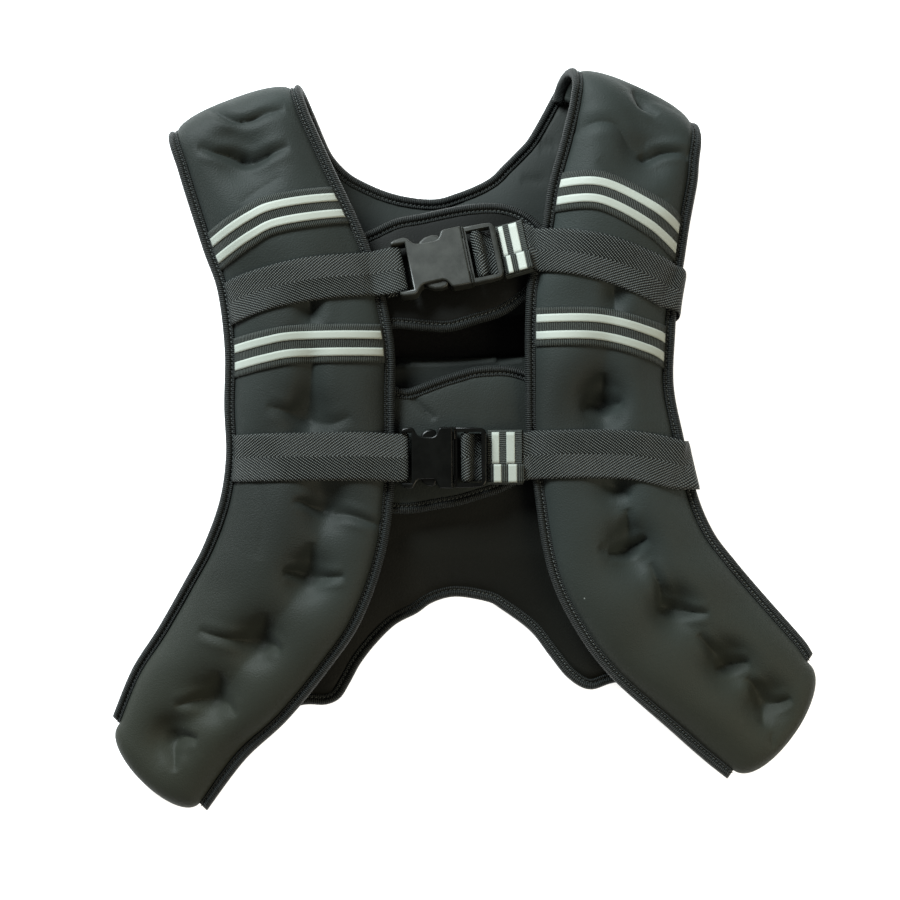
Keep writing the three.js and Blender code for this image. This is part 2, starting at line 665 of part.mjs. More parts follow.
/** Turn of the webbing round the outer edge of the right pad and its run back under the pad. */
function wrapWebbing(key) {
  const rows = STRAPS[key];
  const { radius, inward, drop, slip } = WRAPS[key];
  const row = rows[rows.length - 1];
  const lean = THREE.MathUtils.degToRad(row.lean);
  const half = row.span * WEBBING_WIDTH * 0.5;
  const edge = [-1, 0, 1].map((v) => {
    const x = row.x * VEST_WIDTH + Math.sin(lean) * v * half;
    const y = row.y * VEST_LENGTH - Math.cos(lean) * v * half;
    const { frame } = locate(PADS.right, x, y);
    const centre = frame.right.clone().addScaledVector(frame.across, -BINDING_WIDTH * 0.5);
    return { centre, out: frame.across, up: frame.normal };
  });
  const across = edge[2].centre.clone().sub(edge[0].centre).normalize();
  const ring = (place, normal) => {
    const points = edge.map((side) => side.centre.clone().add(place(side)));
    return ribbonRing(points, normal(edge[1]));
  };
  const radial = (angle) => (side) => {
    const r = THREE.MathUtils.degToRad(angle);
    return side.out.clone().multiplyScalar(Math.cos(r)).addScaledVector(side.up, Math.sin(r));
  };
  const slide = (share) => across.clone().multiplyScalar(slip * share);
  const rings = [66, 36, 12, -12, -36, -66].map((angle) => {
    const place = (side) => radial(angle)(side).multiplyScalar(radius).add(slide((66 - angle) / 132));
    return ring(place, radial(angle));
  });
  for (const f of [0.45, 1]) {
    const place = (side) => side.out.clone().multiplyScalar(-inward * f).add(slide(1))
      .addScaledVector(side.up, -radius - drop * f);
    const normal = (side) => side.out.clone().multiplyScalar(drop).addScaledVector(side.up, -inward).normalize();
    rings.push(ring(place, normal));
  }
  return rings;
}

function manifold(geometry) {
  const position = geometry.getAttribute("position");
  const count = geometry.index ? geometry.index.count : position.count;
  const seen = new Map();
  const vertices = [];
  const triangles = [];
  for (let i = 0; i < count; i += 1) {
    const k = geometry.index ? geometry.index.getX(i) : i;
    const point = [position.getX(k), position.getY(k), position.getZ(k)];
    const key = point.map((value) => Math.round(value * 1e4)).join(" ");
    if (!seen.has(key)) {
      seen.set(key, vertices.length / 3);
      vertices.push(...point);
    }
    triangles.push(seen.get(key));
  }
  const kept = [];
  for (let i = 0; i < triangles.length; i += 3) {
    const [a, b, c] = triangles.slice(i, i + 3);
    if (a !== b && b !== c && c !== a) kept.push(a, b, c);
  }
  return new wasm.Manifold(new wasm.Mesh({
    numProp: 3,
    vertProperties: new Float32Array(vertices),
    triVerts: new Uint32Array(kept),
  }));
}

function fromManifold(body) {
  const mesh = body.getMesh();
  const points = [];
  for (let i = 0; i < mesh.vertProperties.length; i += mesh.numProp) {
    points.push(new THREE.Vector3(...mesh.vertProperties.slice(i, i + 3)));
  }
  return solid(points, Array.from(mesh.triVerts));
}

function polygon(points) {
  return new THREE.Shape(points.map(([x, y]) => new THREE.Vector2(x, y)));
}

function mirrored(half) {
  return [...half, ...half.map(([x, y]) => [x, -y]).reverse()];
}

/** Plate of an outline, centred on z 0, with its edges broken by the bevel. */
function plate(shape, thickness, bevel) {
  const geometry = new THREE.ExtrudeGeometry(shape, {
    depth: thickness - 2 * bevel,
    bevelEnabled: bevel > 0,
    bevelThickness: bevel,
    bevelSize: bevel,
    bevelOffset: -bevel,
    bevelSegments: 1,
    curveSegments: 6,
  });
  geometry.translate(0, 0, bevel - thickness * 0.5);
  return manifold(geometry);
}

function bar(at, radius, length) {
  const geometry = new THREE.CylinderGeometry(radius, radius, length, 10);
  geometry.translate(at, 0, 0);
  return manifold(geometry);
}

function box(x0, x1, halfY, halfZ) {
  const geometry = new THREE.BoxGeometry(x1 - x0, 2 * halfY, 2 * halfZ);
  geometry.translate((x0 + x1) * 0.5, 0, 0);
  return manifold(geometry);
}

/** Place along a female half whose length is a share of the full one, its open end staying put. */
function alongBody(body, x) {
  return BODY_END - (BODY_END - x) * body;
}

/** Female half: body with two side scoops, horns that carry the webbing bar, pocket for the prongs. */
function femaleBody(body) {
  const wide = BUCKLE_WIDTH * 0.5;
  const half = [
    [9, 15.9], [0.2, 15.9], [0.2, 17.8], [2, 18.9], [9, wide - 0.3], [11.5, wide - 1.3], [13.6, 15.2],
    [16, 13.6], [28.5, 13.2], [31, 14.6], [32.6, 18], [34.5, wide - 0.2], [BODY_END, wide],
  ];
  const shape = polygon(mirrored(half.map(([x, y]) => [alongBody(body, x), y])));
  const pocket = box(alongBody(body, 18), BODY_END + 1, 17, BUCKLE_THICKNESS * 0.5 - 2);
  const clip = bar(alongBody(body, CLIP_BAR), 2, 33);
  return plate(shape, BUCKLE_THICKNESS, 0.6).subtract(pocket).add(clip);
}

/** Male half: ladder that carries the webbing bar, and two prongs inside the female half. */
function maleBody(body) {
  const wide = BUCKLE_WIDTH * 0.5;
  const right = BUCKLE_LENGTH;
  const shape = polygon(mirrored([
    [46.3, wide - 0.2], [62, wide - 0.6], [65.5, wide - 1.3], [right, wide - 3.6],
  ]));
  const window = box(48.7, 64.2, 16.2, BUCKLE_THICKNESS);
  const prong = [
    [47.5, 9], [30, 9.4], [22, 9.6], [19.2, 10.6], [20.4, 14], [24, 16.6], [30.4, 17.4], [32, 14.4],
    [36, 15.4], [44, 16.5], [47.5, 16.5],
  ];
  const near = prong.map(([x, y]) => [alongBody(body, x), y]);
  const deep = BUCKLE_THICKNESS - 4 - 2 * GAP;
  const ladder = plate(shape, 6.5, 0.8).subtract(window).add(bar(LADDER_BAR, 1.6, 34));
  const far = near.map(([x, y]) => [x, -y]).reverse();
  return ladder.add(plate(polygon(near), deep, 0.5)).add(plate(polygon(far), deep, 0.5));
}

function keeperGeometry(length) {
  const halfWide = WEBBING_WIDTH * 0.5 + KEEPER_WALL + 0.4;
  const halfDeep = WEBBING_THICKNESS + 0.3 + 0.6 + KEEPER_WALL;
  const ring = (wide, deep, r) => [
    [-wide, -deep + r], [-wide + r, -deep], [wide - r, -deep], [wide, -deep + r],
    [wide, deep - r], [wide - r, deep], [-wide + r, deep], [-wide, deep - r],
  ];
  const shape = polygon(ring(halfWide, halfDeep, 1.4));
  const inner = ring(halfWide - KEEPER_WALL, halfDeep - KEEPER_WALL, 0.6);
  shape.holes.push(new THREE.Path(inner.map(([x, y]) => new THREE.Vector2(x, y))));
  return new THREE.ExtrudeGeometry(shape, { depth: length, bevelEnabled: false });
}

function keeperMatrix(name) {
  const buckle = buckleFrame(BUCKLES[name]);
  const slope = keeperSlope(name);
  const along = buckle.a.clone().addScaledVector(buckle.c, slope).normalize();
  const up = buckle.c.clone().addScaledVector(buckle.a, -slope).normalize();
  const middle = -4.8 - (WEBBING_THICKNESS + 0.6) * 0.5;
  return new THREE.Matrix4()
    .makeBasis(buckle.b, up, along)
    .setPosition(buckle.place(KEEPER_START, middle));
}

function scaled(rows) {
  return rows.map((row) => new THREE.Vector2(row.x * VEST_WIDTH, row.y * VEST_LENGTH));
}

/** Evenly spaced points of a smooth curve, moved sideways to its left by an offset. */
function offsetCurve(points, count, offset) {
  const curve = new THREE.SplineCurve(points);
  return Array.from({ length: count + 1 }, (_, i) => {
    const point = curve.getPointAt(i / count);
    const tangent = curve.getTangentAt(i / count);
    return new THREE.Vector2(point.x - tangent.y * offset, point.y + tangent.x * offset);
  });
}

/** Ends of the shoulder of a pad where it meets the back panel, outside its bindings. */
function shoulderEnds(pad) {
  const frame = padFrame(pad, pad.stations.length);
  const heading = THREE.MathUtils.degToRad(pad.heading);
  const back = new THREE.Vector2(-Math.cos(heading), -Math.sin(heading)).multiplyScalar(2 * GAP);
  const left = new THREE.Vector2(frame.left.x, frame.left.y).add(back);
  const right = new THREE.Vector2(frame.right.x, frame.right.y).add(back);
  return [left, right];
}

/** Edges of the back panel moved in by an inset: neckline, and the run down one side, along the hem, up again. */
function backEdges(inset) {
  const [leftOuter, leftInner] = shoulderEnds(PADS.left);
  const [rightInner, rightOuter] = shoulderEnds(PADS.right);
  const neck = offsetCurve([leftInner, ...scaled(NECKLINE).slice(1, -1), rightInner], NECK_SEGMENTS, -inset);
  const run = [leftOuter, ...scaled(BACK_EDGE_RUN).slice(1, -1), rightOuter];
  const edge = offsetCurve(run, 2 * SIDE_SEGMENTS + HEM_SEGMENTS, inset);
  const leftShoulder = leftInner.clone().sub(leftOuter).normalize().multiplyScalar(inset);
  const rightShoulder = rightOuter.clone().sub(rightInner).normalize().multiplyScalar(inset);
  neck[0].copy(leftInner).sub(leftShoulder);
  neck[NECK_SEGMENTS].copy(rightInner).add(rightShoulder);
  edge[0].copy(leftOuter).add(leftShoulder);
  edge[edge.length - 1].copy(rightOuter).sub(rightShoulder);
  return { neck, edge };
}

/** Back panel: a patch between its four edges, filled between a flat underside and a raised top. */
function backGeometry() {
  const { neck, edge } = backEdges(BINDING_WIDTH + GAP);
  const columns = HEM_SEGMENTS;
  const rows = SIDE_SEGMENTS;
  const left = edge.slice(0, rows + 1).reverse();
  const bottom = edge.slice(rows, rows + columns + 1);
  const right = edge.slice(rows + columns);
  const shoulder = (HEM_SEGMENTS - NECK_SEGMENTS) / 2;
  const top = [];
  for (let i = 0; i < shoulder; i += 1) top.push(left[rows].clone().lerp(neck[0], i / shoulder));
  top.push(...neck);
  for (let i = 1; i <= shoulder; i += 1) {
    top.push(neck[NECK_SEGMENTS].clone().lerp(right[rows], i / shoulder));
  }
  const plan = [];
  for (let j = 0; j <= rows; j += 1) {
    const v = j / rows;
    for (let i = 0; i <= columns; i += 1) {
      const u = i / columns;
      const point = bottom[i].clone().multiplyScalar(1 - v).addScaledVector(top[i], v);
      point.addScaledVector(left[j], 1 - u).addScaledVector(right[j], u);
      point.addScaledVector(bottom[0], -(1 - u) * (1 - v)).addScaledVector(bottom[columns], -u * (1 - v));
      point.addScaledVector(top[0], -(1 - u) * v).addScaledVector(top[columns], -u * v);
      plan.push(point);
    }
  }
  const wide = columns + 1;
  relax(plan, columns, rows);
  const rim = [];
  for (let i = 0; i < columns; i += 1) rim.push(i);
  for (let j = 0; j < rows; j += 1) rim.push(j * wide + columns);
  for (let i = columns; i > 0; i -= 1) rim.push(rows * wide + i);
  for (let j = rows; j > 0; j -= 1) rim.push(j * wide);
  const outline = rim.map((k) => plan[k]);
  const points = plan.map((point) => new THREE.Vector3(point.x, point.y, backHeight(point, outline)));
  const index = [];
  for (let j = 0; j < rows; j += 1) {
    for (let i = 0; i < columns; i += 1) {
      const a = j * wide + i;
      index.push(a, a + 1, a + wide + 1, a, a + wide + 1, a + wide);
    }
  }
  const base = points.length;
  rim.forEach((k) => points.push(new THREE.Vector3(plan[k].x, plan[k].y, 0)));
  rim.forEach((k, i) => {
    const next = (i + 1) % rim.length;
    index.push(k, base + i, base + next, k, base + next, rim[next]);
  });
  for (const [a, b, c] of THREE.ShapeUtils.triangulateShape(outline, [])) {
    index.push(base + a, base + c, base + b);
  }
  return solid(points, index);
}

/** Evens out the inner points of a patch between its fixed edges. */
function relax(plan, columns, rows) {
  const wide = columns + 1;
  for (let pass = 0; pass < 400; pass += 1) {
    for (let j = 1; j < rows; j += 1) {
      for (let i = 1; i < columns; i += 1) {
        const k = j * wide + i;
        plan[k].set(0, 0);
        for (const step of [1, -1, wide, -wide]) plan[k].addScaledVector(plan[k + step], 0.25);
      }
    }
  }
}

function edgeDistance(point, outline) {
  let best = Infinity;
  const spot = new THREE.Vector2();
  for (let i = 0; i < outline.length; i += 1) {
    const a = outline[i];
    const b = outline[(i + 1) % outline.length];
    const edge = b.clone().sub(a);
    const f = THREE.MathUtils.clamp(point.clone().sub(a).dot(edge) / Math.max(edge.lengthSq(), 1e-9), 0, 1);
    spot.copy(a).addScaledVector(edge, f);
    best = Math.min(best, spot.distanceTo(point));
  }
  return best;
}

function backHeight(point, outline) {
  const rise = lookUp(BACK_FILL, "y", "rise", point.y / VEST_LENGTH) * PAD_CROWN;
  return BACK_EDGE + rise * (1 - Math.exp(-edgeDistance(point, outline) / BACK_FILL_REACH));
}

/** The same run of points with both ends drawn in, clear of the shoulder of the pads. */
function shortened(run) {
  const last = run.length - 1;
  const ends = [[0, 1], [last, last - 1]].map(([end, next]) => {
    return run[end].clone().add(run[next].clone().sub(run[end]).setLength(BINDING_END));
  });
  return [ends[0], ...run.slice(1, last), ends[1]];
}

function flatBinding(foot, outward, z) {
  const rings = foot.map((point, i) => {
    const before = foot[Math.max(0, i - 1)];
    const after = foot[Math.min(foot.length - 1, i + 1)];
    const along = after.clone().sub(before).normalize();
    const out = new THREE.Vector3(-along.y, along.x, 0).multiplyScalar(outward);
    return bindingRing(new THREE.Vector3(point.x, point.y, z(i)), out, new THREE.Vector3(0, 0, 1));
  });
  return loft(rings);
}

/** Point of a flap: u along it, v from its low edge to its high edge, in from the outside of its bindings. */
function flapPoint(rows, u, v) {
  const at = u * (rows.length - 1);
  const value = (column) => smooth(rows, column, at);
  const low = value("low") * VEST_LENGTH + BINDING_WIDTH;
  const high = value("high") * VEST_LENGTH - BINDING_WIDTH;
  const z = THREE.MathUtils.lerp(value("lowZ"), value("highZ"), v) * STACK_HEIGHT;
  return new THREE.Vector3(value("x") * VEST_WIDTH, THREE.MathUtils.lerp(low, Math.max(high, low + 1), v), z);
}

function flapGeometry(rows) {
  const steps = 12;
  const across = spread(6, 1.3);
  const rings = [];
  for (let k = 0; k <= steps; k += 1) {
    const u = k / steps;
    const ends = pillow(0.04 + 0.92 * u);
    const lift = (v) => PAD_EDGE * 0.5 + (FLAP_THICKNESS - PAD_EDGE) * pillow(v) * ends;
    rings.push([
      ...across.map((v) => flapPoint(rows, u, v).add(new THREE.Vector3(0, 0, lift(v)))),
      flapPoint(rows, u, 1).add(new THREE.Vector3(0, 0, -PAD_EDGE * 0.5)),
      flapPoint(rows, u, 0).add(new THREE.Vector3(0, 0, -PAD_EDGE * 0.5)),
    ]);
  }
  return loft(rings);
}

function flapBinding(rows, high) {
  const steps = 12;
  const feet = Array.from({ length: steps + 1 }, (_, k) => flapPoint(rows, k / steps, high ? 1 : 0));
  return flatBinding(feet.map((p) => new THREE.Vector2(p.x, p.y)), high ? 1 : -1, (i) => feet[i].z);
}

const group = new THREE.Group();
group.name = "weighted_vest";

function add(name, geometry, finish, matrix) {
  const mesh = new THREE.Mesh(geometry, finish.clone());
  mesh.name = name;
  if (matrix) mesh.applyMatrix4(matrix);
  group.add(mesh);
}

for (const side of ["left", "right"]) {
  const pad = PADS[side];
  add(`pad_${side}`, padGeometry(pad), NEOPRENE);
  add(`binding_${side}_outer`, padBinding(pad, side === "right"), TAPE);
  add(`binding_${side}_inner`, padBinding(pad, side === "left"), TAPE);
}

add("back_panel", backGeometry(), BACK_NEOPRENE);
const edges = backEdges(BINDING_WIDTH);
const backBindingHeight = () => BINDING_HEIGHT * 0.5;
add("binding_neckline", flatBinding(shortened(edges.neck), 1, backBindingHeight), TAPE);
add("binding_back", flatBinding(shortened(edges.edge), -1, backBindingHeight), TAPE);

for (const level of ["upper", "lower"]) {
  add(`flap_${level}`, flapGeometry(FLAPS[level]), BACK_NEOPRENE);
  add(`flap_${level}_top_binding`, flapBinding(FLAPS[level], true), TAPE);
  add(`flap_${level}_bottom_binding`, flapBinding(FLAPS[level], false), TAPE);
}

for (const [name, band] of Object.entries(BANDS)) {
  const pad = PADS[band.pad];
  const height = planCurve(band.line);
  const half = BAND_WIDTH * 0.5;
  const base = 0.5;
  const top = base + BAND_THICKNESS;
  add(`band_${name}`, acrossPad(pad, height, [-half, 0, half], [base, top], 0.84), ELASTIC);
  for (const [label, middle] of [["a", STRIPE_OFFSET], ["b", -STRIPE_OFFSET]]) {
    const sides = [middle - STRIPE_WIDTH * 0.5, middle + STRIPE_WIDTH * 0.5];
    const lifts = [top + 0.5, top + 0.5 + STRIPE_THICKNESS];
    add(`stripe_${name}_${label}`, acrossPad(pad, height, sides, lifts, 0.83), REFLECTIVE);
  }
}

for (const level of ["upper", "lower"]) {
  const finish = level === "upper" ? SATIN_PLASTIC : BLACK_PLASTIC;
  const frame = buckleFrame(BUCKLES[level]);
  add(`buckle_${level}_female`, fromManifold(femaleBody(BUCKLES[level].body)), finish, frame.matrix);
  add(`buckle_${level}_male`, fromManifold(maleBody(BUCKLES[level].body)), finish, frame.matrix);
  add(`webbing_${level}_left`, leftStrap(level), WEBBING);
  add(`webbing_${level}_right`, rightStrap(level), WEBBING);
  add(`keeper_${level}`, keeperGeometry(BUCKLES[level].keeper), ELASTIC, keeperMatrix(level));
}

export default group;
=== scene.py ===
"""Weighted vest lying on its back: filled cloth, bound edges, tapes, webbing and buckles."""

import logging
import math
from collections.abc import Callable, Iterable, Sequence
from dataclasses import dataclass, field
from enum import Enum

import bmesh
import bpy
import numpy as np
from mathutils import Matrix, Vector
from mathutils.bvhtree import BVHTree


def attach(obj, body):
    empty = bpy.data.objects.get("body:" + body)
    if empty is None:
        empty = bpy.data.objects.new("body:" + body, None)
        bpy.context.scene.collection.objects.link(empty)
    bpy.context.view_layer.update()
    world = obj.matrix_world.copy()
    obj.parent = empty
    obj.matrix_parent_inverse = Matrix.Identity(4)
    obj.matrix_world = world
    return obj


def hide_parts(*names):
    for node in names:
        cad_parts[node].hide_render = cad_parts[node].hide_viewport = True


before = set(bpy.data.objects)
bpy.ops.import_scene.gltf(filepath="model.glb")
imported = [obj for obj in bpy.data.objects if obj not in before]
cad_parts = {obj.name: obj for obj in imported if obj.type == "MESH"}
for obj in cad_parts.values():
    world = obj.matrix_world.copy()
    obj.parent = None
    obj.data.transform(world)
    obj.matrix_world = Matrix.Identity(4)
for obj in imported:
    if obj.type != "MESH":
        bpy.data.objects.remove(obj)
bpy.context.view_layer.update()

LOG = logging.getLogger("weighted_vest")
MM = 0.001
Rows = Sequence[Sequence[float]]
Plan = tuple[tuple[float, float], ...]
Colour = tuple[float, float, float, float]
UP = np.array([0.0, 0.0, 1.0])
TINY = 1e-9
FLOOR_GAP = 0.15


class Slot(Enum):
    """Material slots of the record."""

    NEOPRENE = "neoprene"
    BACK = "back_neoprene"
    TAPE = "tape"
    WEBBING = "webbing"
    ELASTIC = "elastic"
    REFLECTIVE = "reflective"
    SATIN = "satin_plastic"
    BLACK = "black_plastic"


class Weave(Enum):
    """Surface pattern of a cloth finish."""

    NAP = "nap"
    RIBS = "ribs"
    TWILL = "twill"


@dataclass(frozen=True)
class Sizes:
    """Named sizes of the vest, in millimetres."""

    length: float = 482.0
    width: float = 461.0
    stack: float = 56.0
    pad_width: float = 108.0
    pad_crown: float = 24.0
    pad_edge: float = 3.2
    binding_width: float = 6.3
    binding_height: float = 6.2
    back_edge: float = 4.6
    flap_thickness: float = 5.0
    webbing_width: float = 32.0
    webbing_thickness: float = 1.4
    band_width: float = 24.6
    band_thickness: float = 1.0
    stripe_width: float = 5.2
    stripe_offset: float = 5.4
    stripe_thickness: float = 0.5
    gap: float = 0.3

    @property
    def inset(self) -> float:
        """Width of an edge that its binding covers."""
        return self.binding_width + self.gap


SIZES = Sizes()


# Curves and grids.


def smooth(rows: np.ndarray, at: float) -> np.ndarray:
    """Value at a fractional row, through a Catmull-Rom cubic.

    Args:
        rows: Table whose first axis is the row.
        at: Fractional row.

    Returns:
        The row's values there.
    """
    last = len(rows) - 1
    i = max(0, min(last - 1, math.floor(at)))
    f = at - i
    a, b, c, d = (rows[max(0, min(last, i + k))] for k in (-1, 0, 1, 2))
    return b + 0.5 * f * (c - a + f * (2 * a - 5 * b + 4 * c - d + f * (3 * (b - c) + d - a)))


def unit(vector: np.ndarray) -> np.ndarray:
    """The vector at length one."""
    return vector / max(float(np.linalg.norm(vector)), TINY)


def units(vectors: np.ndarray) -> np.ndarray:
    """Rows of vectors, each at length one."""
    return vectors / np.maximum(np.linalg.norm(vectors, axis=1, keepdims=True), TINY)


def facing(degrees: float) -> np.ndarray:
    """Level direction at an angle from the x axis."""
    angle = math.radians(degrees)
    return np.array([math.cos(angle), math.sin(angle), 0.0])


def tapered(share: np.ndarray, power: float = 0.5) -> np.ndarray:
    """Strength along a crease, from 0 at both ends to 1 in the middle."""
    return np.clip(4 * share * (1 - share), 0, 1) ** power


def pillow(s: float) -> float:
    """Height of a filled cushion over its chord, 0 at both seams and 1 in the middle."""
    return max(0.0, 1 - abs(2 * s - 1) ** 2.6) ** 0.62


def arc_steps(points: np.ndarray) -> np.ndarray:
    """Length run along a line of points, one value a point."""
    steps = np.linalg.norm(np.diff(points, axis=0), axis=1)
    return np.concatenate([[0.0], np.cumsum(steps)])


def even_line(points: np.ndarray, count: int) -> np.ndarray:
    """The same line of points or rungs, resampled evenly.

    Args:
        points: Array of points (n, 3) or of rungs (n, m, 3).
        count: Number of steps wanted.

    Returns:
        Array with count + 1 entries.
    """
    middle = points if points.ndim == 2 else points.mean(axis=1)
    run = arc_steps(middle)
    flat = points.reshape(len(points), -1)
    wanted = np.linspace(0, run[-1], count + 1)
    made = np.stack([np.interp(wanted, run, flat[:, k]) for k in range(flat.shape[1])], axis=1)
    return made.reshape((count + 1,) + points.shape[1:])


def eased(points: np.ndarray, passes: int) -> np.ndarray:
    """A line of points or rungs with its kinks evened out and its ends kept."""
    made = points.copy()
    for _ in range(passes):
        made[1:-1] = 0.25 * made[:-2] + 0.5 * made[1:-1] + 0.25 * made[2:]
    return made


def even_plan(points: np.ndarray, count: int) -> np.ndarray:
    """A line of plan points, resampled evenly."""
    return even_line(np.column_stack([points, np.zeros(len(points))]), count)[:, :2]


def plan_spline(points: Rows, count: int, offset: float = 0.0) -> np.ndarray:
    """Evenly spaced plan points of a smooth curve, moved to its left by an offset.

    Args:
        points: Plan points in millimetres.
        count: Number of steps.
        offset: Sideways move in millimetres.

    Returns:
        Array (count + 1, 2).
    """
    rows = np.array(points, dtype=float)
    dense = np.array([smooth(rows, t) for t in np.linspace(0, len(rows) - 1, 30 * len(rows))])
    made = even_plan(dense, count)
    along = units(np.gradient(made, axis=0))
    return made + offset * np.column_stack([-along[:, 1], along[:, 0]])


def polyline_distance(points: np.ndarray, line: np.ndarray) -> tuple[np.ndarray, ...]:
    """Distance of plan points to an open line, its share along the line, and its side.

    Args:
        points: Plan points (n, 2).
        line: Line points (m, 2).

    Returns:
        Distances, shares from 0 to 1, and signs (+1 to the left of the line).
    """
    best = np.full(len(points), np.inf)
    share = np.zeros(len(points))
    side = np.ones(len(points))
    run = arc_steps(line)
    for k in range(len(line) - 1):
        edge = line[k + 1] - line[k]
        rel = points - line[k]
        f = np.clip((rel @ edge) / max(float(edge @ edge), TINY), 0, 1)
        far = np.linalg.norm(rel - f[:, None] * edge, axis=1)
        near = far < best
        best[near] = far[near]
        share[near] = (run[k] + f[near] * (run[k + 1] - run[k])) / run[-1]
        cross = edge[0] * rel[:, 1] - edge[1] * rel[:, 0]
        side[near] = np.where(cross[near] >= 0, 1.0, -1.0)
    return best, share, side


def as_mesh(name: str, bm: bmesh.types.BMesh) -> bpy.types.Mesh:
    """Turns an edited mesh into a mesh block, and frees it."""
    mesh = bpy.data.meshes.new(name)
    bm.to_mesh(mesh)
    bm.free()
    return mesh


def placed(name: str, data: bpy.types.ID) -> bpy.types.Object:
    """New object of the scene that shows a block of data."""
    made = bpy.data.objects.new(name, data)
    bpy.context.scene.collection.objects.link(made)
    return made


def swept(rings: np.ndarray, closed: bool = True, capped: bool = True) -> bmesh.types.BMesh:
    """Surface through rings of points: a grid whose vertices are moved to them.

    Args:
        rings: Points in millimetres (n, m, 3); a closed ring ends on its first point.
        closed: Whether each ring comes back to its start.
        capped: Whether both ends are filled.

    Returns:
        The mesh in metres, with a UV map "cloth" in metres along and across the cloth.
    """
    along, around = rings.shape[0] - 1, rings.shape[1] - 1
    bm = bmesh.new()
    layer = bm.loops.layers.uv.new("cloth")
    bmesh.ops.create_grid(bm, x_segments=along, y_segments=around, size=0.5, calc_uvs=True)
    run = arc_steps(rings.mean(axis=1)) * MM
    girth = arc_steps(rings[along // 2]) * MM
    for vert in bm.verts:
        i, j = round((vert.co.x + 0.5) * along), round((vert.co.y + 0.5) * around)
        vert.co = Vector(rings[i, j]) * MM
        for loop in vert.link_loops:
            loop[layer].uv = (run[i], girth[j] - 0.5 * girth[-1])
    if closed:
        bmesh.ops.remove_doubles(bm, verts=bm.verts, dist=1e-6)
    if capped:
        rims = [edge for edge in bm.edges if edge.is_boundary]
        bmesh.ops.holes_fill(bm, edges=rims, sides=0)
    bmesh.ops.recalc_face_normals(bm, faces=bm.faces)
    return bm


def sheet_uv(bm: bmesh.types.BMesh, half: float, run_sign: float) -> None:
    """Gives both faces of a flat strip the same across values, measured from its middle.

    Args:
        bm: Strip whose rings go over its width on one face and back on the other.
        half: Half of the strip's width in millimetres.
        run_sign: 1 or -1, the way in which its chevrons point.
    """
    layer = bm.loops.layers.uv["cloth"]
    values = [loop[layer].uv.y for face in bm.faces for loop in face.loops]
    low, high = min(values), max(values)
    turn = min(2 * half * MM / (high - low), 0.499)
    for face in bm.faces:
        for loop in face.loops:
            f = (loop[layer].uv.y - low) / (high - low)
            share = min(f / turn, 1.0) if f <= 0.5 else max(1 - (f - 0.5) / turn, 0.0)
            loop[layer].uv = (loop[layer].uv.x * run_sign, (2 * share - 1) * half * MM)


# Finishes.


@dataclass
class Wiring:
    """Adds and joins the nodes of one tree."""

    tree: bpy.types.NodeTree

    def add(self, kind: str, **settings: object) -> bpy.types.Node:
        """Adds a node and sets its own settings."""
        node = self.tree.nodes.new(kind)
        for name, value in settings.items():
            setattr(node, name, value)
        return node

    def link(self, source: bpy.types.NodeSocket, target: bpy.types.NodeSocket) -> None:
        """Joins an output to an input."""
        self.tree.links.new(source, target)

    def feed(self, target: bpy.types.NodeSocket, value: object) -> None:
        """Joins a socket to an input, or sets the input to a number."""
        if isinstance(value, bpy.types.NodeSocket):
            self.link(value, target)
        else:
            target.default_value = value

    def maths(self, operation: str, *values: object) -> bpy.types.NodeSocket:
        """Result of a Math node."""
        node = self.add("ShaderNodeMath", operation=operation)
        for socket, value in zip(node.inputs, values):
            self.feed(socket, value)
        return node.outputs[0]

    def times(self, value: object, factor: object) -> bpy.types.NodeSocket:
        """Product of two values."""
        return self.maths("MULTIPLY", value, factor)

    def wave(self, phase: object) -> bpy.types.NodeSocket:
        """Sine of a phase, from 0 to 1."""
        return self.maths("MULTIPLY_ADD", self.maths("SINE", phase), 0.5, 0.5)

    def parts(self, vector: object) -> bpy.types.NodeOutputs:
        """The three parts of a vector."""
        node = self.add("ShaderNodeSeparateXYZ")
        self.link(vector, node.inputs[0])
        return node.outputs

    def group(self, tree: bpy.types.NodeTree, vector: object, number: float) -> bpy.types.NodeOutputs:
        """Outputs of a node group that takes a vector and a number."""
        node = self.add("ShaderNodeGroup", node_tree=tree)
        self.link(vector, node.inputs[0])
        node.inputs[1].default_value = number
        return node.outputs

    def bump(self, height: object, strength: float, distance: float) -> bpy.types.NodeSocket:
        """Normal of a surface with a relief."""
        node = self.add("ShaderNodeBump")
        node.inputs["Strength"].default_value = strength
        node.inputs["Distance"].default_value = distance
        self.link(height, node.inputs["Height"])
        return node.outputs[0]

    def ramp(self, value: object, low: float, high: float) -> bpy.types.NodeSocket:
        """Value from 0 at low to 1 at high, eased and clamped."""
        node = self.add("ShaderNodeMapRange", interpolation_type="SMOOTHSTEP")
        self.feed(node.inputs["Value"], value)
        node.inputs["From Min"].default_value = low
        node.inputs["From Max"].default_value = high
        return node.outputs["Result"]

    def mix(self, share: object, first: object, second: object) -> bpy.types.NodeSocket:
        """Colour between two colours."""
        node = self.add("ShaderNodeMix", data_type="RGBA")
        self.feed(node.inputs[0], share)
        self.feed(node.inputs[6], first)
        self.feed(node.inputs[7], second)
        return node.outputs[2]

    def noise(self, vector: object, scale: object, detail: float,
              rough: float = 0.5) -> bpy.types.NodeSocket:
        """Value of a noise texture."""
        node = self.add("ShaderNodeTexNoise")
        self.feed(node.inputs["Vector"], vector)
        self.feed(node.inputs["Scale"], scale)
        node.inputs["Detail"].default_value = detail
        node.inputs["Roughness"].default_value = rough
        return node.outputs["Fac"]


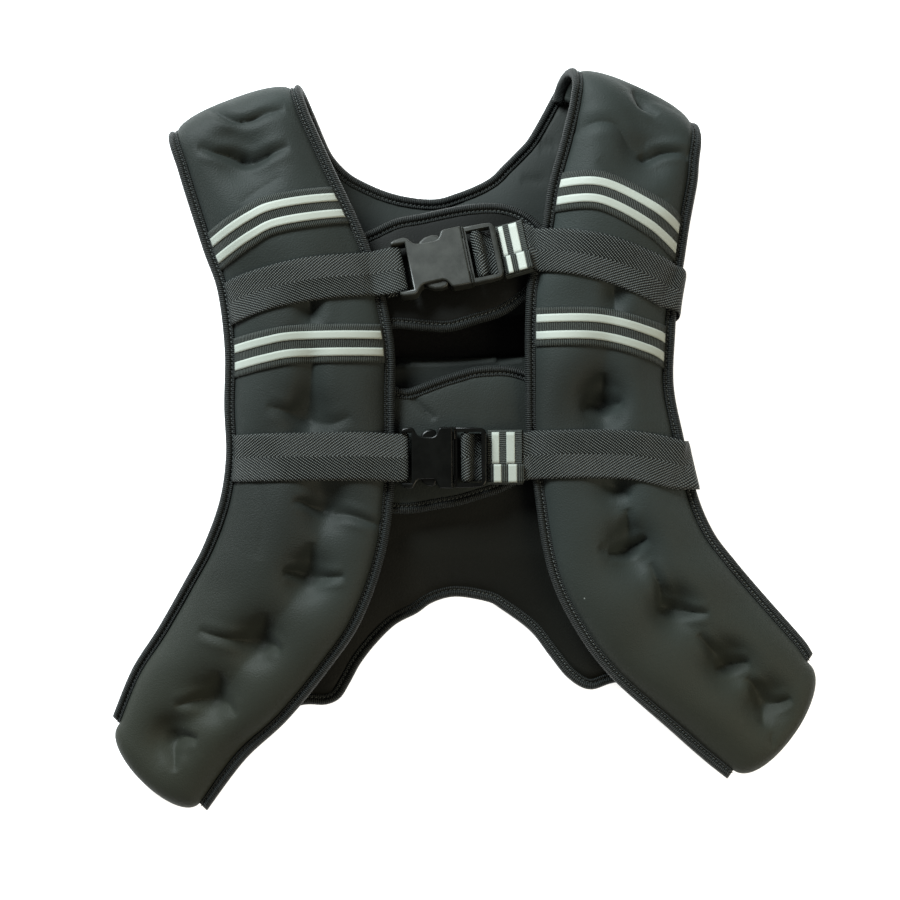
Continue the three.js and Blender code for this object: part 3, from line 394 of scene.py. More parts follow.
def effect(name: str, number: str, gives: Iterable[str]) -> tuple[Wiring, list, bpy.types.NodeInputs]:
    """Starts a shader node group that takes a vector and a number.

    Args:
        name: Name of the group.
        number: Name of the number that it takes.
        gives: Names of its value outputs.

    Returns:
        The wiring, its two inputs, and the sockets of the output node.
    """
    tree = bpy.data.node_groups.new(name, "ShaderNodeTree")
    for label, kind in (("Vector", "NodeSocketVector"), (number, "NodeSocketFloat")):
        tree.interface.new_socket(name=label, in_out="INPUT", socket_type=kind)
    for label in gives:
        tree.interface.new_socket(name=label, in_out="OUTPUT", socket_type="NodeSocketFloat")
    wiring = Wiring(tree)
    source = wiring.add("NodeGroupInput")
    return wiring, list(source.outputs)[:2], wiring.add("NodeGroupOutput").inputs


class Effects:
    """Node groups that the finishes share."""

    CELL_SCALE = 0.8
    CLOUD_SCALE = 0.008
    WEAR_SCALE = 0.03
    RIB_WANDER = 0.55
    RIB_ENDS = 0.35
    LONG, SHORT = 0.92, 0.62
    LINT_CELLS = 170.0
    LINT_SIZE = 0.075

    def __init__(self) -> None:
        """Builds each group once."""
        self.nap = self._nap()
        self.ribs = self._ribs()
        self.twill = self._twill()
        self.lint = self._lint()
        self.grain = self._grain()

    def _nap(self) -> bpy.types.NodeTree:
        """Fine knit face of neoprene: a close grain and broad cloudy patches."""
        w, (vector, scale), give = effect("knit_nap", "Scale", ("Height", "Tone"))
        fine = w.noise(vector, scale, 3.0, 0.6)
        cells = w.add("ShaderNodeTexVoronoi")
        w.link(vector, cells.inputs["Vector"])
        w.link(w.times(scale, self.CELL_SCALE), cells.inputs["Scale"])
        w.link(w.maths("ADD", fine, w.times(cells.outputs["Distance"], -0.5)), give["Height"])
        w.link(w.noise(vector, w.times(scale, self.CLOUD_SCALE), 3.0), give["Tone"])
        return w.tree

    def _ribs(self) -> bpy.types.NodeTree:
        """Cross ribs of a woven tape, along the first UV direction. Height is its relief; Shade is a mask
        that paints a highlight on the rib crests and shade between them.
        """
        w, (vector, pitch), give = effect("tape_ribs", "Pitch", ("Height", "Shade"))
        wander = w.times(w.noise(vector, 260.0, 2.0), self.RIB_WANDER)
        phase = w.maths("ADD", w.maths("DIVIDE", w.parts(vector)[0], pitch), wander)
        wave = w.wave(w.times(phase, 2 * math.pi))
        ends = w.noise(vector, 1500.0, 2.0)
        w.link(w.maths("ADD", wave, w.times(ends, self.RIB_ENDS)), give["Height"])
        w.link(w.times(w.maths("POWER", wave, 2.0), ends), give["Shade"])
        return w.tree

    def _twill(self) -> bpy.types.NodeTree:
        """Herringbone webbing: slanting threads that turn at the middle of its width. Height is its relief;
        Shade is a mask that paints a highlight on the threads and shade between them.
        """
        w, (vector, pitch), give = effect("twill", "Pitch", ("Height", "Shade"))
        run, across, _ = w.parts(vector)
        side = w.maths("ABSOLUTE", across)
        wander = w.times(w.noise(vector, 120.0, 1.0), 0.5)
        slant = w.maths("ADD", w.times(run, self.SHORT), w.times(side, self.LONG))
        phase = w.maths("ADD", w.maths("DIVIDE", slant, pitch), wander)
        thread = w.wave(w.times(phase, 2 * math.pi))
        cross = w.maths("SUBTRACT", w.times(run, self.LONG), w.times(side, self.SHORT))
        bead = w.wave(w.times(w.maths("DIVIDE", cross, pitch), 2.6 * math.pi))
        w.link(w.times(thread, w.maths("ADD", w.times(bead, 0.5), 0.6)), give["Height"])
        w.link(w.times(w.maths("POWER", thread, 1.8), bead), give["Shade"])
        return w.tree

    def _lint(self) -> bpy.types.NodeTree:
        """Sparse specks of lint and dust."""
        w, (vector, density), give = effect("lint", "Density", ("Mask",))
        cells = w.add("ShaderNodeTexVoronoi")
        w.link(vector, cells.inputs["Vector"])
        cells.inputs["Scale"].default_value = self.LINT_CELLS
        pick = w.add("ShaderNodeSeparateColor")
        w.link(cells.outputs["Color"], pick.inputs[0])
        chosen = w.maths("LESS_THAN", pick.outputs[0], density)
        size = w.times(pick.outputs[1], self.LINT_SIZE)
        w.link(w.times(chosen, w.maths("LESS_THAN", cells.outputs["Distance"], size)), give["Mask"])
        return w.tree

    def _grain(self) -> bpy.types.NodeTree:
        """Fine spark-eroded grain of moulded plastic with faint handling marks."""
        w, (vector, scale), give = effect("mould_grain", "Scale", ("Height", "Wear"))
        w.link(w.noise(vector, scale, 4.0, 0.7), give["Height"])
        w.link(w.noise(vector, w.times(scale, self.WEAR_SCALE), 4.0, 0.65), give["Wear"])
        return w.tree


def blank_material(name: str) -> tuple[bpy.types.Material, Wiring, bpy.types.NodeInputs]:
    """New material, with its wiring and the inputs of its shader."""
    material = bpy.data.materials.new(name)
    material.use_nodes = True
    return material, Wiring(material.node_tree), material.node_tree.nodes["Principled BSDF"].inputs


NAP_SCALE = 1100.0
GRAIN_SCALE = 2600.0
# Near-black painted shade of the recess between the pocket step and the upper flap.
RECESS_PAINTED_SHADE = (0.0003, 0.0003, 0.0003, 1.0)
LINT_GREY = (0.42, 0.45, 0.44, 1.0)


@dataclass(frozen=True)
class ClothFinish:
    """A textile: two colours, a weave and a sheen. On a knit face they are close tones mixed at random; on
    ribs and twill the deep colour is painted shade in the grooves and the lit one a painted highlight on
    the crests.
    """

    name: str
    slot: Slot
    weave: Weave
    deep: Colour
    lit: Colour
    roughness: float
    sheen: float
    pitch: float = 0.001
    relief: float = 0.0002
    lint: float = 0.0
    # Colour mixed in towards the bottom over the fade range of y: a browner tint on the face, painted shade
    # on the back panel.
    lower_tint_and_painted_shade: Colour | None = None
    fade: tuple[float, float] = (0.02, 0.22)
    # Band of y painted near black as the shade in the recess between the pocket step and the upper flap.
    painted_shade_band: tuple[float, float] | None = None

    def build(self, effects: Effects) -> bpy.types.Material:
        """Makes the material.

        Args:
            effects: Shared node groups.

        Returns:
            The material.
        """
        material, w, shader = blank_material(self.name)
        shader["Sheen Weight"].default_value = self.sheen
        shader["Sheen Roughness"].default_value = 0.42
        shader["Sheen Tint"].default_value = (0.78, 0.84, 0.84, 1.0)
        shader["Specular IOR Level"].default_value = 0.15
        place = w.add("ShaderNodeTexCoord").outputs["Object"]
        nap = w.group(effects.nap, place, NAP_SCALE)
        height, tone = nap["Height"], nap["Tone"]
        if self.weave is Weave.NAP:
            colour = w.mix(w.ramp(tone, 0.3, 0.72), self.deep, self.lit)
        else:
            tree = effects.twill if self.weave is Weave.TWILL else effects.ribs
            pattern = w.group(tree, w.add("ShaderNodeUVMap", uv_map="cloth").outputs[0], self.pitch)
            height = pattern["Height"]
            # Painted light: rib and thread crests get the lit colour as a painted highlight, the grooves
            # the deep colour as painted shade.
            colour = w.mix(w.times(pattern["Shade"], 1.6), self.deep, self.lit)
        y = w.parts(place)[1] if self.lower_tint_and_painted_shade or self.painted_shade_band else None
        # Towards the bottom the colour is mixed with the lower colour: a browner tint on the face, painted
        # shade on the back panel.
        if self.lower_tint_and_painted_shade:
            colour = w.mix(w.ramp(w.times(y, -1.0), *self.fade), colour, self.lower_tint_and_painted_shade)
        # Painted shade: the band of y where the recess between the pocket step and the upper flap lies is
        # painted near black.
        if self.painted_shade_band:
            low, high = self.painted_shade_band
            above = w.ramp(y, low, low + 0.0012)
            below = w.ramp(w.times(y, -1.0), -high - 0.004, -high)
            colour = w.mix(w.times(above, below), colour, RECESS_PAINTED_SHADE)
        if self.lint:
            specks = w.group(effects.lint, place, self.lint)["Mask"]
            colour = w.mix(w.times(specks, 0.55), colour, LINT_GREY)
        w.link(colour, shader["Base Color"])
        w.link(w.maths("MULTIPLY_ADD", tone, 0.12, self.roughness - 0.06), shader["Roughness"])
        w.link(w.bump(height, 1.0, self.relief), shader["Normal"])
        return material


@dataclass(frozen=True)
class PlasticFinish:
    """Moulded plastic with a fine grain and rubbed patches."""

    name: str
    slot: Slot
    deep: Colour
    lit: Colour
    roughness: float
    gloss: float

    def build(self, effects: Effects) -> bpy.types.Material:
        """Makes the material.

        Args:
            effects: Shared node groups.

        Returns:
            The material.
        """
        material, w, shader = blank_material(self.name)
        shader["Specular IOR Level"].default_value = self.gloss
        grain = w.group(effects.grain, w.add("ShaderNodeTexCoord").outputs["Object"], GRAIN_SCALE)
        wear = grain["Wear"]
        w.link(w.mix(w.ramp(wear, 0.35, 0.7), self.deep, self.lit), shader["Base Color"])
        w.link(w.maths("MULTIPLY_ADD", wear, 0.22, self.roughness - 0.11), shader["Roughness"])
        w.link(w.bump(grain["Height"], 0.5, 0.00004), shader["Normal"])
        return material


FINISHES = (
    ClothFinish("neoprene_face", Slot.NEOPRENE, Weave.NAP, (0.0150, 0.0175, 0.0155, 1), (0.0240, 0.0300,
                0.0280, 1), 0.58,
                0.05, relief=0.00022, lint=0.004, lower_tint_and_painted_shade=(0.0245, 0.0268, 0.0200, 1)),
    # Back panel: painted darker towards the bottom as shade, and near black as painted shade in the recess
    # between the pocket step and the upper flap.
    ClothFinish("neoprene_back", Slot.BACK, Weave.NAP, (0.0125, 0.0145, 0.0125, 1), (0.0185, 0.0225,
                0.0210, 1), 0.6,
                0.04, relief=0.00016, lint=0.005, lower_tint_and_painted_shade=(0.0052, 0.0055, 0.0040, 1), fade=(-0.02, 0.06),
                painted_shade_band=(0.0545, 0.0815)),
    # Darker copy of the back neoprene for the upper flap: painted shade.
    ClothFinish("neoprene_painted_shade", Slot.BACK, Weave.NAP, (0.0022, 0.0025, 0.0019, 1), (0.0036, 0.0040,
                0.0031, 1), 0.6,
                0.01, relief=0.00012, lint=0.003),
    # On the ribbed and woven finishes, deep is painted shade in the grooves and lit a painted highlight on
    # the crests.
    ClothFinish("bound_tape", Slot.TAPE, Weave.RIBS, (0.0022, 0.0024, 0.0023, 1), (0.042, 0.047, 0.045, 1),
                0.46, 0.03,
                pitch=0.00125, relief=0.0005),
    ClothFinish("herringbone_webbing", Slot.WEBBING, Weave.TWILL, (0.0022, 0.0024, 0.0022, 1), (0.140,
                0.152, 0.144, 1),
                0.44, 0.0, pitch=0.0017, relief=0.0007),
    ClothFinish("ribbed_elastic", Slot.ELASTIC, Weave.RIBS, (0.008, 0.0090, 0.0080, 1), (0.082, 0.092,
                0.082, 1), 0.56,
                0.03, pitch=0.0012, relief=0.0003),
    ClothFinish("silver_stripe", Slot.REFLECTIVE, Weave.NAP, (0.270, 0.290, 0.255, 1), (0.380, 0.405,
                0.365, 1), 0.45,
                0.0, relief=0.00010),
    PlasticFinish("satin_buckle", Slot.SATIN, (0.0170, 0.0180, 0.0152, 1), (0.0270, 0.0282, 0.0240, 1),
                  0.37, 0.3),
    PlasticFinish("black_buckle", Slot.BLACK, (0.0016, 0.0018, 0.0015, 1), (0.0028, 0.0031, 0.0026, 1),
                  0.28, 0.2),
    # The thread's light grey is partly its own colour and partly a painted highlight for the glints along
    # the groove.
    ClothFinish("sewing_thread", Slot.TAPE, Weave.NAP, (0.03, 0.032, 0.031, 1), (0.11, 0.12, 0.115, 1),
                0.45, 0.0,
                relief=0.00005),
)


@dataclass
class Workroom:
    """Keeps the finishes and hands out dressed pieces."""

    materials: dict[str, bpy.types.Material] = field(default_factory=dict)
    slots: dict[str, Slot] = field(default_factory=dict)
    count: int = 0

    def stock(self) -> None:
        """Makes every finish."""
        effects = Effects()
        for finish in FINISHES:
            self.materials[finish.name] = finish.build(effects)
            self.slots[finish.name] = finish.slot

    def piece(self, name: str, bm: bmesh.types.BMesh, finish: str, nodes: Sequence[str] = (),
              sharp: float = 180.0) -> bpy.types.Object:
        """Turns a mesh into a piece of the vest that rides on its one body.

        Args:
            name: Name of the piece.
            bm: Its mesh in metres, freed here.
            finish: Name of its finish.
            nodes: CAD nodes that it stands for.
            sharp: Angle in degrees past which an edge is shaded sharp.

        Returns:
            The object.
        """
        limit = math.radians(sharp)
        for face in bm.faces:
            face.smooth = True
        for edge in bm.edges:
            angle = edge.calc_face_angle(0.0)
            areas = [face.calc_area() for face in edge.link_faces]
            flat_side = sharp < 180 and angle > 0.05 and max(areas) > 5 * min(areas)
            edge.smooth = angle < limit and not flat_side
        mesh = as_mesh(name, bm)
        made = placed(name, mesh)
        mesh.materials.append(self.materials[finish])
        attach(made, "root")
        if nodes:
            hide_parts(*nodes)
        self.count += 1
        LOG.info("%s: %d faces, %s", name, len(mesh.polygons), finish)
        return made


@dataclass
class Ground:
    """Surfaces that cloth is laid on, found from above."""

    trees: list[BVHTree] = field(default_factory=list)

    def add(self, *pieces: bpy.types.Object) -> None:
        """Adds pieces as they are now."""
        for piece in pieces:
            mesh = piece.data
            verts = [v.co.copy() for v in mesh.vertices]
            self.trees.append(BVHTree.FromPolygons(verts, [tuple(p.vertices) for p in mesh.polygons]))

    def touch(self, x: float, y: float) -> tuple[float, np.ndarray] | None:
        """Highest point over a plan point, in millimetres, with its normal, if there is one."""
        best = None
        for tree in self.trees:
            spot, normal, _, _ = tree.ray_cast(Vector((x * MM, y * MM, 0.2)), Vector((0, 0, -1)))
            if spot is not None and (best is None or spot.z / MM > best[0]):
                best = (spot.z / MM, np.array(normal if normal.z > 0 else -normal))
        return best

    def height(self, x: float, y: float, floor: float = 0.0) -> float:
        """Height of the highest surface over a plan point, in millimetres."""
        spot = self.touch(x, y)
        return floor if spot is None else max(spot[0], floor)


# Pads.


@dataclass(frozen=True)
class Tuft:
    """Point where both faces of a pad are tacked together, in plan millimetres."""

    x: float
    y: float
    reach: float
    depth: float


@dataclass(frozen=True)
class Crease:
    """Fold line pulled in by the tacks, in plan millimetres."""

    line: Plan
    depth: float
    width: float


@dataclass(frozen=True)
class PadFrame:
    """Seam ends, directions and crowns at one place of a pad."""

    left: np.ndarray
    right: np.ndarray
    across: np.ndarray
    normal: np.ndarray
    up: float
    down: float
    edge: float
    folded: bool


@dataclass
class Pad:
    """Filled front pad from its wing end, over the shoulder, to the back panel."""

    side: str
    bulge: float
    heading: float
    drift: tuple[float, float]
    stations: Rows
    tufts: tuple[Tuft, ...]
    creases: tuple[Crease, ...]
    valley: Plan
    valley_depth: float = 4.2
    valley_width: float = 13.0
    fold_low: float = 0.16
    fold_crown: float = 0.30
    pitch: float = 4.4
    above: int = 26
    below: int = 14
    start: float = 0.93
    pressure: float = 4.0
    cap: float = 5.0
    crease_gain: float = 1.5

    WING_ROUND = 2.3
    WING_HEIGHT = 6
    DENT_REACH = 1.35
    DENT_SHARE = 0.7
    BATCH = 2000
    SEAM_HELD = 0.0004
    TUFT_HELD = 0.0034
    UNDERSIDE_HELD = 0.7
    EVEN_PASSES = 14
    LIP, LIP_AT, LIP_WIDTH = 0.24, 2.2, 1.3
    CREASE_SLIDE = 0.28
    BOWL, BOWL_REACH = 1.3, 1.6
    PIT, PIT_REACH = 0.5, 3.0
    TUFT_SLIDE, TUFT_SLIDE_REACH = 0.35, 6.0
    SLIDE_GAIN = 0.6

    def __post_init__(self) -> None:
        """Keeps the stations as an array: x, y, width, turn, left, right, up, down."""
        self.rows = np.array(self.stations, dtype=float)
        self.last = len(self.stations) - 1
        ats = np.linspace(0, self.last, 60 * self.last + 1)
        self.rail_at = ats
        frames = [self.frame(at) for at in ats]
        self.rail_left = np.array([f.left for f in frames])
        self.rail_right = np.array([f.right for f in frames])

    def frame(self, at: float) -> PadFrame:
        """Frame at a station: below 0 is the wing end, past the last one the turn over the shoulder."""
        x, y, width, turn, left_z, right_z, up, down = smooth(self.rows, min(max(at, 0), self.last))
        centre = np.array([x * SIZES.width, y * SIZES.length, 0.0])
        chord = facing(turn)
        half = width * SIZES.pad_width * 0.5
        up *= SIZES.pad_crown
        down *= SIZES.pad_crown
        edge = SIZES.pad_edge * 0.5
        left_z *= SIZES.stack
        right_z *= SIZES.stack
        normal = UP.copy()
        if at < 0:
            out = math.sin(-at * math.pi * 0.5)
            shrink = max(0.0, 1 - out**self.WING_ROUND) ** (1 / self.WING_ROUND)
            centre = centre + np.array([chord[1], -chord[0], 0.0]) * out * self.bulge * SIZES.pad_width
            half = max(0.02, shrink) * (half - SIZES.binding_width) + SIZES.binding_width
            up *= max(0.1, shrink**0.8)
            down *= max(0.3, shrink)
            edge *= 1 + 1.2 * (1 - max(0.3, shrink))
            left_z += (self.WING_HEIGHT - left_z) * out
            right_z += (self.WING_HEIGHT - right_z) * out
        if at > self.last:
            angle = (at - self.last) * math.pi
            ahead = facing(self.heading)
            radius = (left_z - self.fold_low * SIZES.stack) * 0.5
            under = (1 - math.cos(angle)) * 0.5
            centre = centre + ahead * radius * math.sin(angle)
            centre[0] += self.drift[0] * SIZES.width * under
            centre[1] += self.drift[1] * SIZES.length * under
            left_z -= 2 * radius * under
            right_z -= 2 * radius * under
            normal = ahead * math.sin(angle) + UP * math.cos(angle)
            up += (self.fold_crown * SIZES.pad_crown - up) * under
        left = centre - chord * half
        right = centre + chord * half
        left[2], right[2] = left_z, right_z
        across = unit(right - left)
        normal = unit(normal - across * float(normal @ across))
        return PadFrame(left, right, across, normal, up, down, edge, at > self.last)

    def point(self, at: PadFrame, s: float, upper: bool, swell: float = 1.0) -> np.ndarray:
        """Point of the pad, a share across it, on its upper or lower face."""
        length = max(float(np.linalg.norm(at.right - at.left)) - 2 * SIZES.inset, 0.6)
        spot = at.left + at.across * (SIZES.inset + s * length)
        crown = (at.up if upper else at.down) * pillow(s) * swell
        height = at.edge + crown
        if upper and not at.folded:
            dent = 0
            for tuft in self.tufts:
                far = math.hypot(spot[0] - tuft.x, spot[1] - tuft.y)
                dent += tuft.depth * math.exp(-(far / (self.DENT_REACH * tuft.reach)) ** 2)
            height -= min(dent, self.DENT_SHARE * crown)
        spot = spot + at.normal * (height if upper else -height)
        spot[2] = max(spot[2], FLOOR_GAP)
        return spot

    def stops(self) -> np.ndarray:
        """Stations of the mesh's rings, close together at the round wing end."""
        run = arc_steps(0.5 * (self.rail_left + self.rail_right))
        count = round(run[-1] / self.pitch)
        body = np.interp(np.linspace(0, run[-1], count + 1), run, self.rail_at)
        return np.concatenate([np.linspace(-1, 0, 9)[:-1], body, self.last + np.linspace(0, 1, 15)[1:]])

    def rings(self) -> np.ndarray:
        """Rings round the pad, closed on their first point."""
        top = [0.5 - 0.5 * math.cos(math.pi * k / self.above) for k in range(self.above + 1)]
        top = [0.55 * s + 0.45 * k / self.above for k, s in enumerate(top)]
        low = [1 - k / self.below for k in range(self.below + 1)]
        rings = []
        for at in self.stops():
            here = self.frame(at)
            ring = [self.point(here, s, True, self.start) for s in top]
            ring += [self.point(here, s, False, self.start) for s in low]
            rings.append(ring + ring[:1])
        return np.array(rings)

    def build(self, room: Workroom) -> bpy.types.Object:
        """Makes the pad: start shape, filling by cloth pressure, tacked tufts and creases."""
        rings = self.rings()
        bm = swept(rings)
        piece = room.piece(f"pad_{self.side}_cloth", bm, "neoprene_face", [f"pad_{self.side}"])
        self.fill(piece, rings)
        thicken(piece, 2)
        self.tack(piece)
        return piece

    def fill(self, piece: bpy.types.Object, rings: np.ndarray) -> None:
        """Blows the start shape up between its seams and tacks with Blender's cloth."""
        mesh = piece.data
        before = read_rows(mesh)
        seams = np.concatenate([rings[:, 0], rings[:, self.above], rings[:, self.above + 1], rings[:, -2]])
        seams = np.concatenate([seams, rings[-4:].reshape(-1, 3)]) * MM
        weights = np.zeros(len(before))
        for start in range(0, len(before), self.BATCH):
            part = before[start:start + self.BATCH]
            near = np.linalg.norm(part[:, None, :] - seams[None, :, :], axis=2).min(axis=1)
            weights[start:start + self.BATCH] = np.where(near < self.SEAM_HELD, 1.0, 0.0)
        for tuft in self.tufts:
            far = np.hypot(before[:, 0] - tuft.x * MM, before[:, 1] - tuft.y * MM)
            weights = np.where(far < self.TUFT_HELD, 1.0, weights)
        low = read_rows(mesh, "normal")[:, 2] < -0.2
        weights = np.where(low, np.maximum(weights, self.UNDERSIDE_HELD), weights)
        held = piece.vertex_groups.new(name="held")
        for index in np.nonzero(weights)[0]:
            held.add([int(index)], float(weights[index]), "REPLACE")
        inflate(piece, self.pressure, 0.01)
        moved = spread_out(mesh, read_rows(mesh) - before, self.EVEN_PASSES)
        far = np.linalg.norm(moved, axis=1, keepdims=True)
        after = before + moved * np.minimum(1.0, self.cap * MM / np.maximum(far, TINY))
        after[:, 2] = np.maximum(after[:, 2], FLOOR_GAP * MM)
        LOG.info("pad %s: filled by up to %.1f mm, kept to %.1f mm", self.side, far.max() / MM, self.cap)
        write_points(mesh, after)
        piece.vertex_groups.clear()

    def tack(self, piece: bpy.types.Object) -> None:
        """Presses the tufts and the creases between them into the upper face."""
        mesh = piece.data
        points = read_rows(mesh) / MM
        normals = read_rows(mesh, "normal")
        upward = np.clip((normals[:, 2] - 0.1) / 0.35, 0, 1)
        plan = points[:, :2]
        drop = np.zeros(len(points))
        slide = np.zeros(len(points))
        for crease in self.creases:
            line = eased(plan_spline(crease.line, 24), 1)
            margin = 6 * crease.width
            inside = (plan > line.min(axis=0) - margin) & (plan < line.max(axis=0) + margin)
            close = np.nonzero(np.all(inside, axis=1))[0]
            far, share, side = polyline_distance(plan[close], line)
            taper = tapered(share, 0.6) * self.crease_gain * crease.depth
            near = far / crease.width
            lip = self.LIP * np.exp(-(((near - self.LIP_AT) / self.LIP_WIDTH) ** 2))
            drop[close] += taper * (np.exp(-near) - lip)
            north = np.where(line[-1, 0] >= line[0, 0], side, -side)
            slide[close] += np.where(north > 0, self.CREASE_SLIDE * taper * np.exp(-near / 1.5), 0.0)
        for tuft in self.tufts:
            far = np.hypot(plan[:, 0] - tuft.x, plan[:, 1] - tuft.y)
            wide = np.hypot(plan[:, 0] - tuft.x, 0.85 * (plan[:, 1] - tuft.y - 2.5))
            drop += self.BOWL * tuft.depth * np.exp(-((wide / (self.BOWL_REACH * tuft.reach)) ** 1.5))
            drop += self.PIT * tuft.depth * np.exp(-((far / self.PIT_REACH) ** 2))
            slide += self.TUFT_SLIDE * tuft.depth * np.exp(-((far / self.TUFT_SLIDE_REACH) ** 2))
        far, share, _ = polyline_distance(plan, plan_spline(self.valley, 40))
        along = self.valley_depth * np.clip(6 * share * (1 - share), 0, 1)
        drop += along * np.exp(-((far / self.valley_width) ** 1.5))
        points -= normals * (drop * upward)[:, None]
        points[:, 1] -= slide * upward * self.SLIDE_GAIN
        points[:, 2] = np.maximum(points[:, 2], FLOOR_GAP)
        write_points(mesh, points * MM)

    def stop_at(self, s: float, offset: float, height: Callable[[np.ndarray], np.ndarray]) -> PadFrame:
        """Frame whose point at a share across lies on a plan curve moved up by an offset."""
        length = np.linalg.norm(self.rail_right - self.rail_left, axis=1, keepdims=True)
        across = (self.rail_right - self.rail_left) / length
        spots = self.rail_left + across * (SIZES.inset + s * (length - 2 * SIZES.inset))
        slope = height(spots[:, 0] + 4) - height(spots[:, 0] - 4)
        ahead = spots[:, 1] - height(spots[:, 0]) - offset * np.hypot(8, slope) / 8
        k = max(1, int(np.argmax(ahead >= 0)))
        f = min(max(-ahead[k - 1] / max(ahead[k] - ahead[k - 1], TINY), 0), 1)
        return self.frame(self.rail_at[k - 1] + f * (self.rail_at[k] - self.rail_at[k - 1]))

    def edge_at(self, x: float, y: float) -> PadFrame:
        """Frame of the pad abreast of a plan point."""
        across = self.rail_right - self.rail_left
        rise, run = y - self.rail_left[:, 1], x - self.rail_left[:, 0]
        ahead = across[:, 0] * rise - across[:, 1] * run
        k = max(1, int(np.argmax(ahead <= 0)))
        return self.frame(self.rail_at[k])


def read_rows(mesh: bpy.types.Mesh, what: str = "co") -> np.ndarray:
    """Vertex positions in metres, or another vector of each vertex."""
    flat = np.empty(3 * len(mesh.vertices))
    mesh.vertices.foreach_get(what, flat)
    return flat.reshape(-1, 3)


def write_points(mesh: bpy.types.Mesh, points: np.ndarray) -> None:
    """Moves the vertices to new positions in metres."""
    mesh.vertices.foreach_set("co", points.reshape(-1))
    mesh.update()


def spread_out(mesh: bpy.types.Mesh, values: np.ndarray, passes: int) -> np.ndarray:
    """Values of the vertices, averaged with those of their neighbours.

    Args:
        mesh: Mesh whose edges join the neighbours.
        values: One row a vertex.
        passes: Number of rounds.

    Returns:
        The evened values.
    """
    flat = np.empty(2 * len(mesh.edges), dtype=int)
    mesh.edges.foreach_get("vertices", flat)
    own, other = np.concatenate([flat.reshape(-1, 2), flat.reshape(-1, 2)[:, ::-1]]).T
    share = np.bincount(own, minlength=len(values))[:, None]
    for _ in range(passes):
        sums = [np.bincount(own, values[other, k], len(values)) for k in range(3)]
        values = 0.4 * values + 0.6 * np.stack(sums, axis=1) / np.maximum(share, 1)
    return values


def settle(piece: bpy.types.Object) -> None:
    """Replaces a piece's mesh by the result of its modifiers, and removes them."""
    depsgraph = bpy.context.evaluated_depsgraph_get()
    made = bpy.data.meshes.new_from_object(piece.evaluated_get(depsgraph))
    piece.modifiers.clear()
    old, name = piece.data, piece.data.name
    piece.data = made
    bpy.data.meshes.remove(old)
    made.name = name


def thicken(piece: bpy.types.Object, levels: int) -> None:
    """Divides a piece's mesh smoothly."""
    finer = piece.modifiers.new("finer", "SUBSURF")
    finer.levels = levels
    finer.render_levels = levels
    settle(piece)


CLOTH = {
    "quality": 6, "mass": 0.2, "tension_stiffness": 20, "compression_stiffness": 20, "shear_stiffness": 8,
    "bending_stiffness": 8, "use_pressure": True, "vertex_group_mass": "held",
}
CLOTH_FRAMES = 20


def inflate(piece: bpy.types.Object, pressure: float, spare: float) -> None:
    """Blows a closed cloth shape up without gravity, with its group "held" kept in place.

    Args:
        piece: Closed piece with a vertex group "held".
        pressure: Pressure inside.
        spare: Share by which the cloth is larger than its start shape.
    """
    cloth = piece.modifiers.new("filling", "CLOTH")
    for name, value in CLOTH.items():
        setattr(cloth.settings, name, value)
    cloth.settings.uniform_pressure_force = pressure
    cloth.settings.effector_weights.gravity = 0
    cloth.settings.shrink_min = cloth.settings.shrink_max = -spare
    cloth.collision_settings.use_collision = False
    cloth.point_cache.frame_end = CLOTH_FRAMES
    scene = bpy.context.scene
    for number in range(1, CLOTH_FRAMES + 1):
        scene.frame_set(number)
    depsgraph = bpy.context.evaluated_depsgraph_get()
    after = read_rows(piece.evaluated_get(depsgraph).data)
    piece.modifiers.clear()
    scene.frame_set(1)
    write_points(piece.data, after)


# Bound edges.


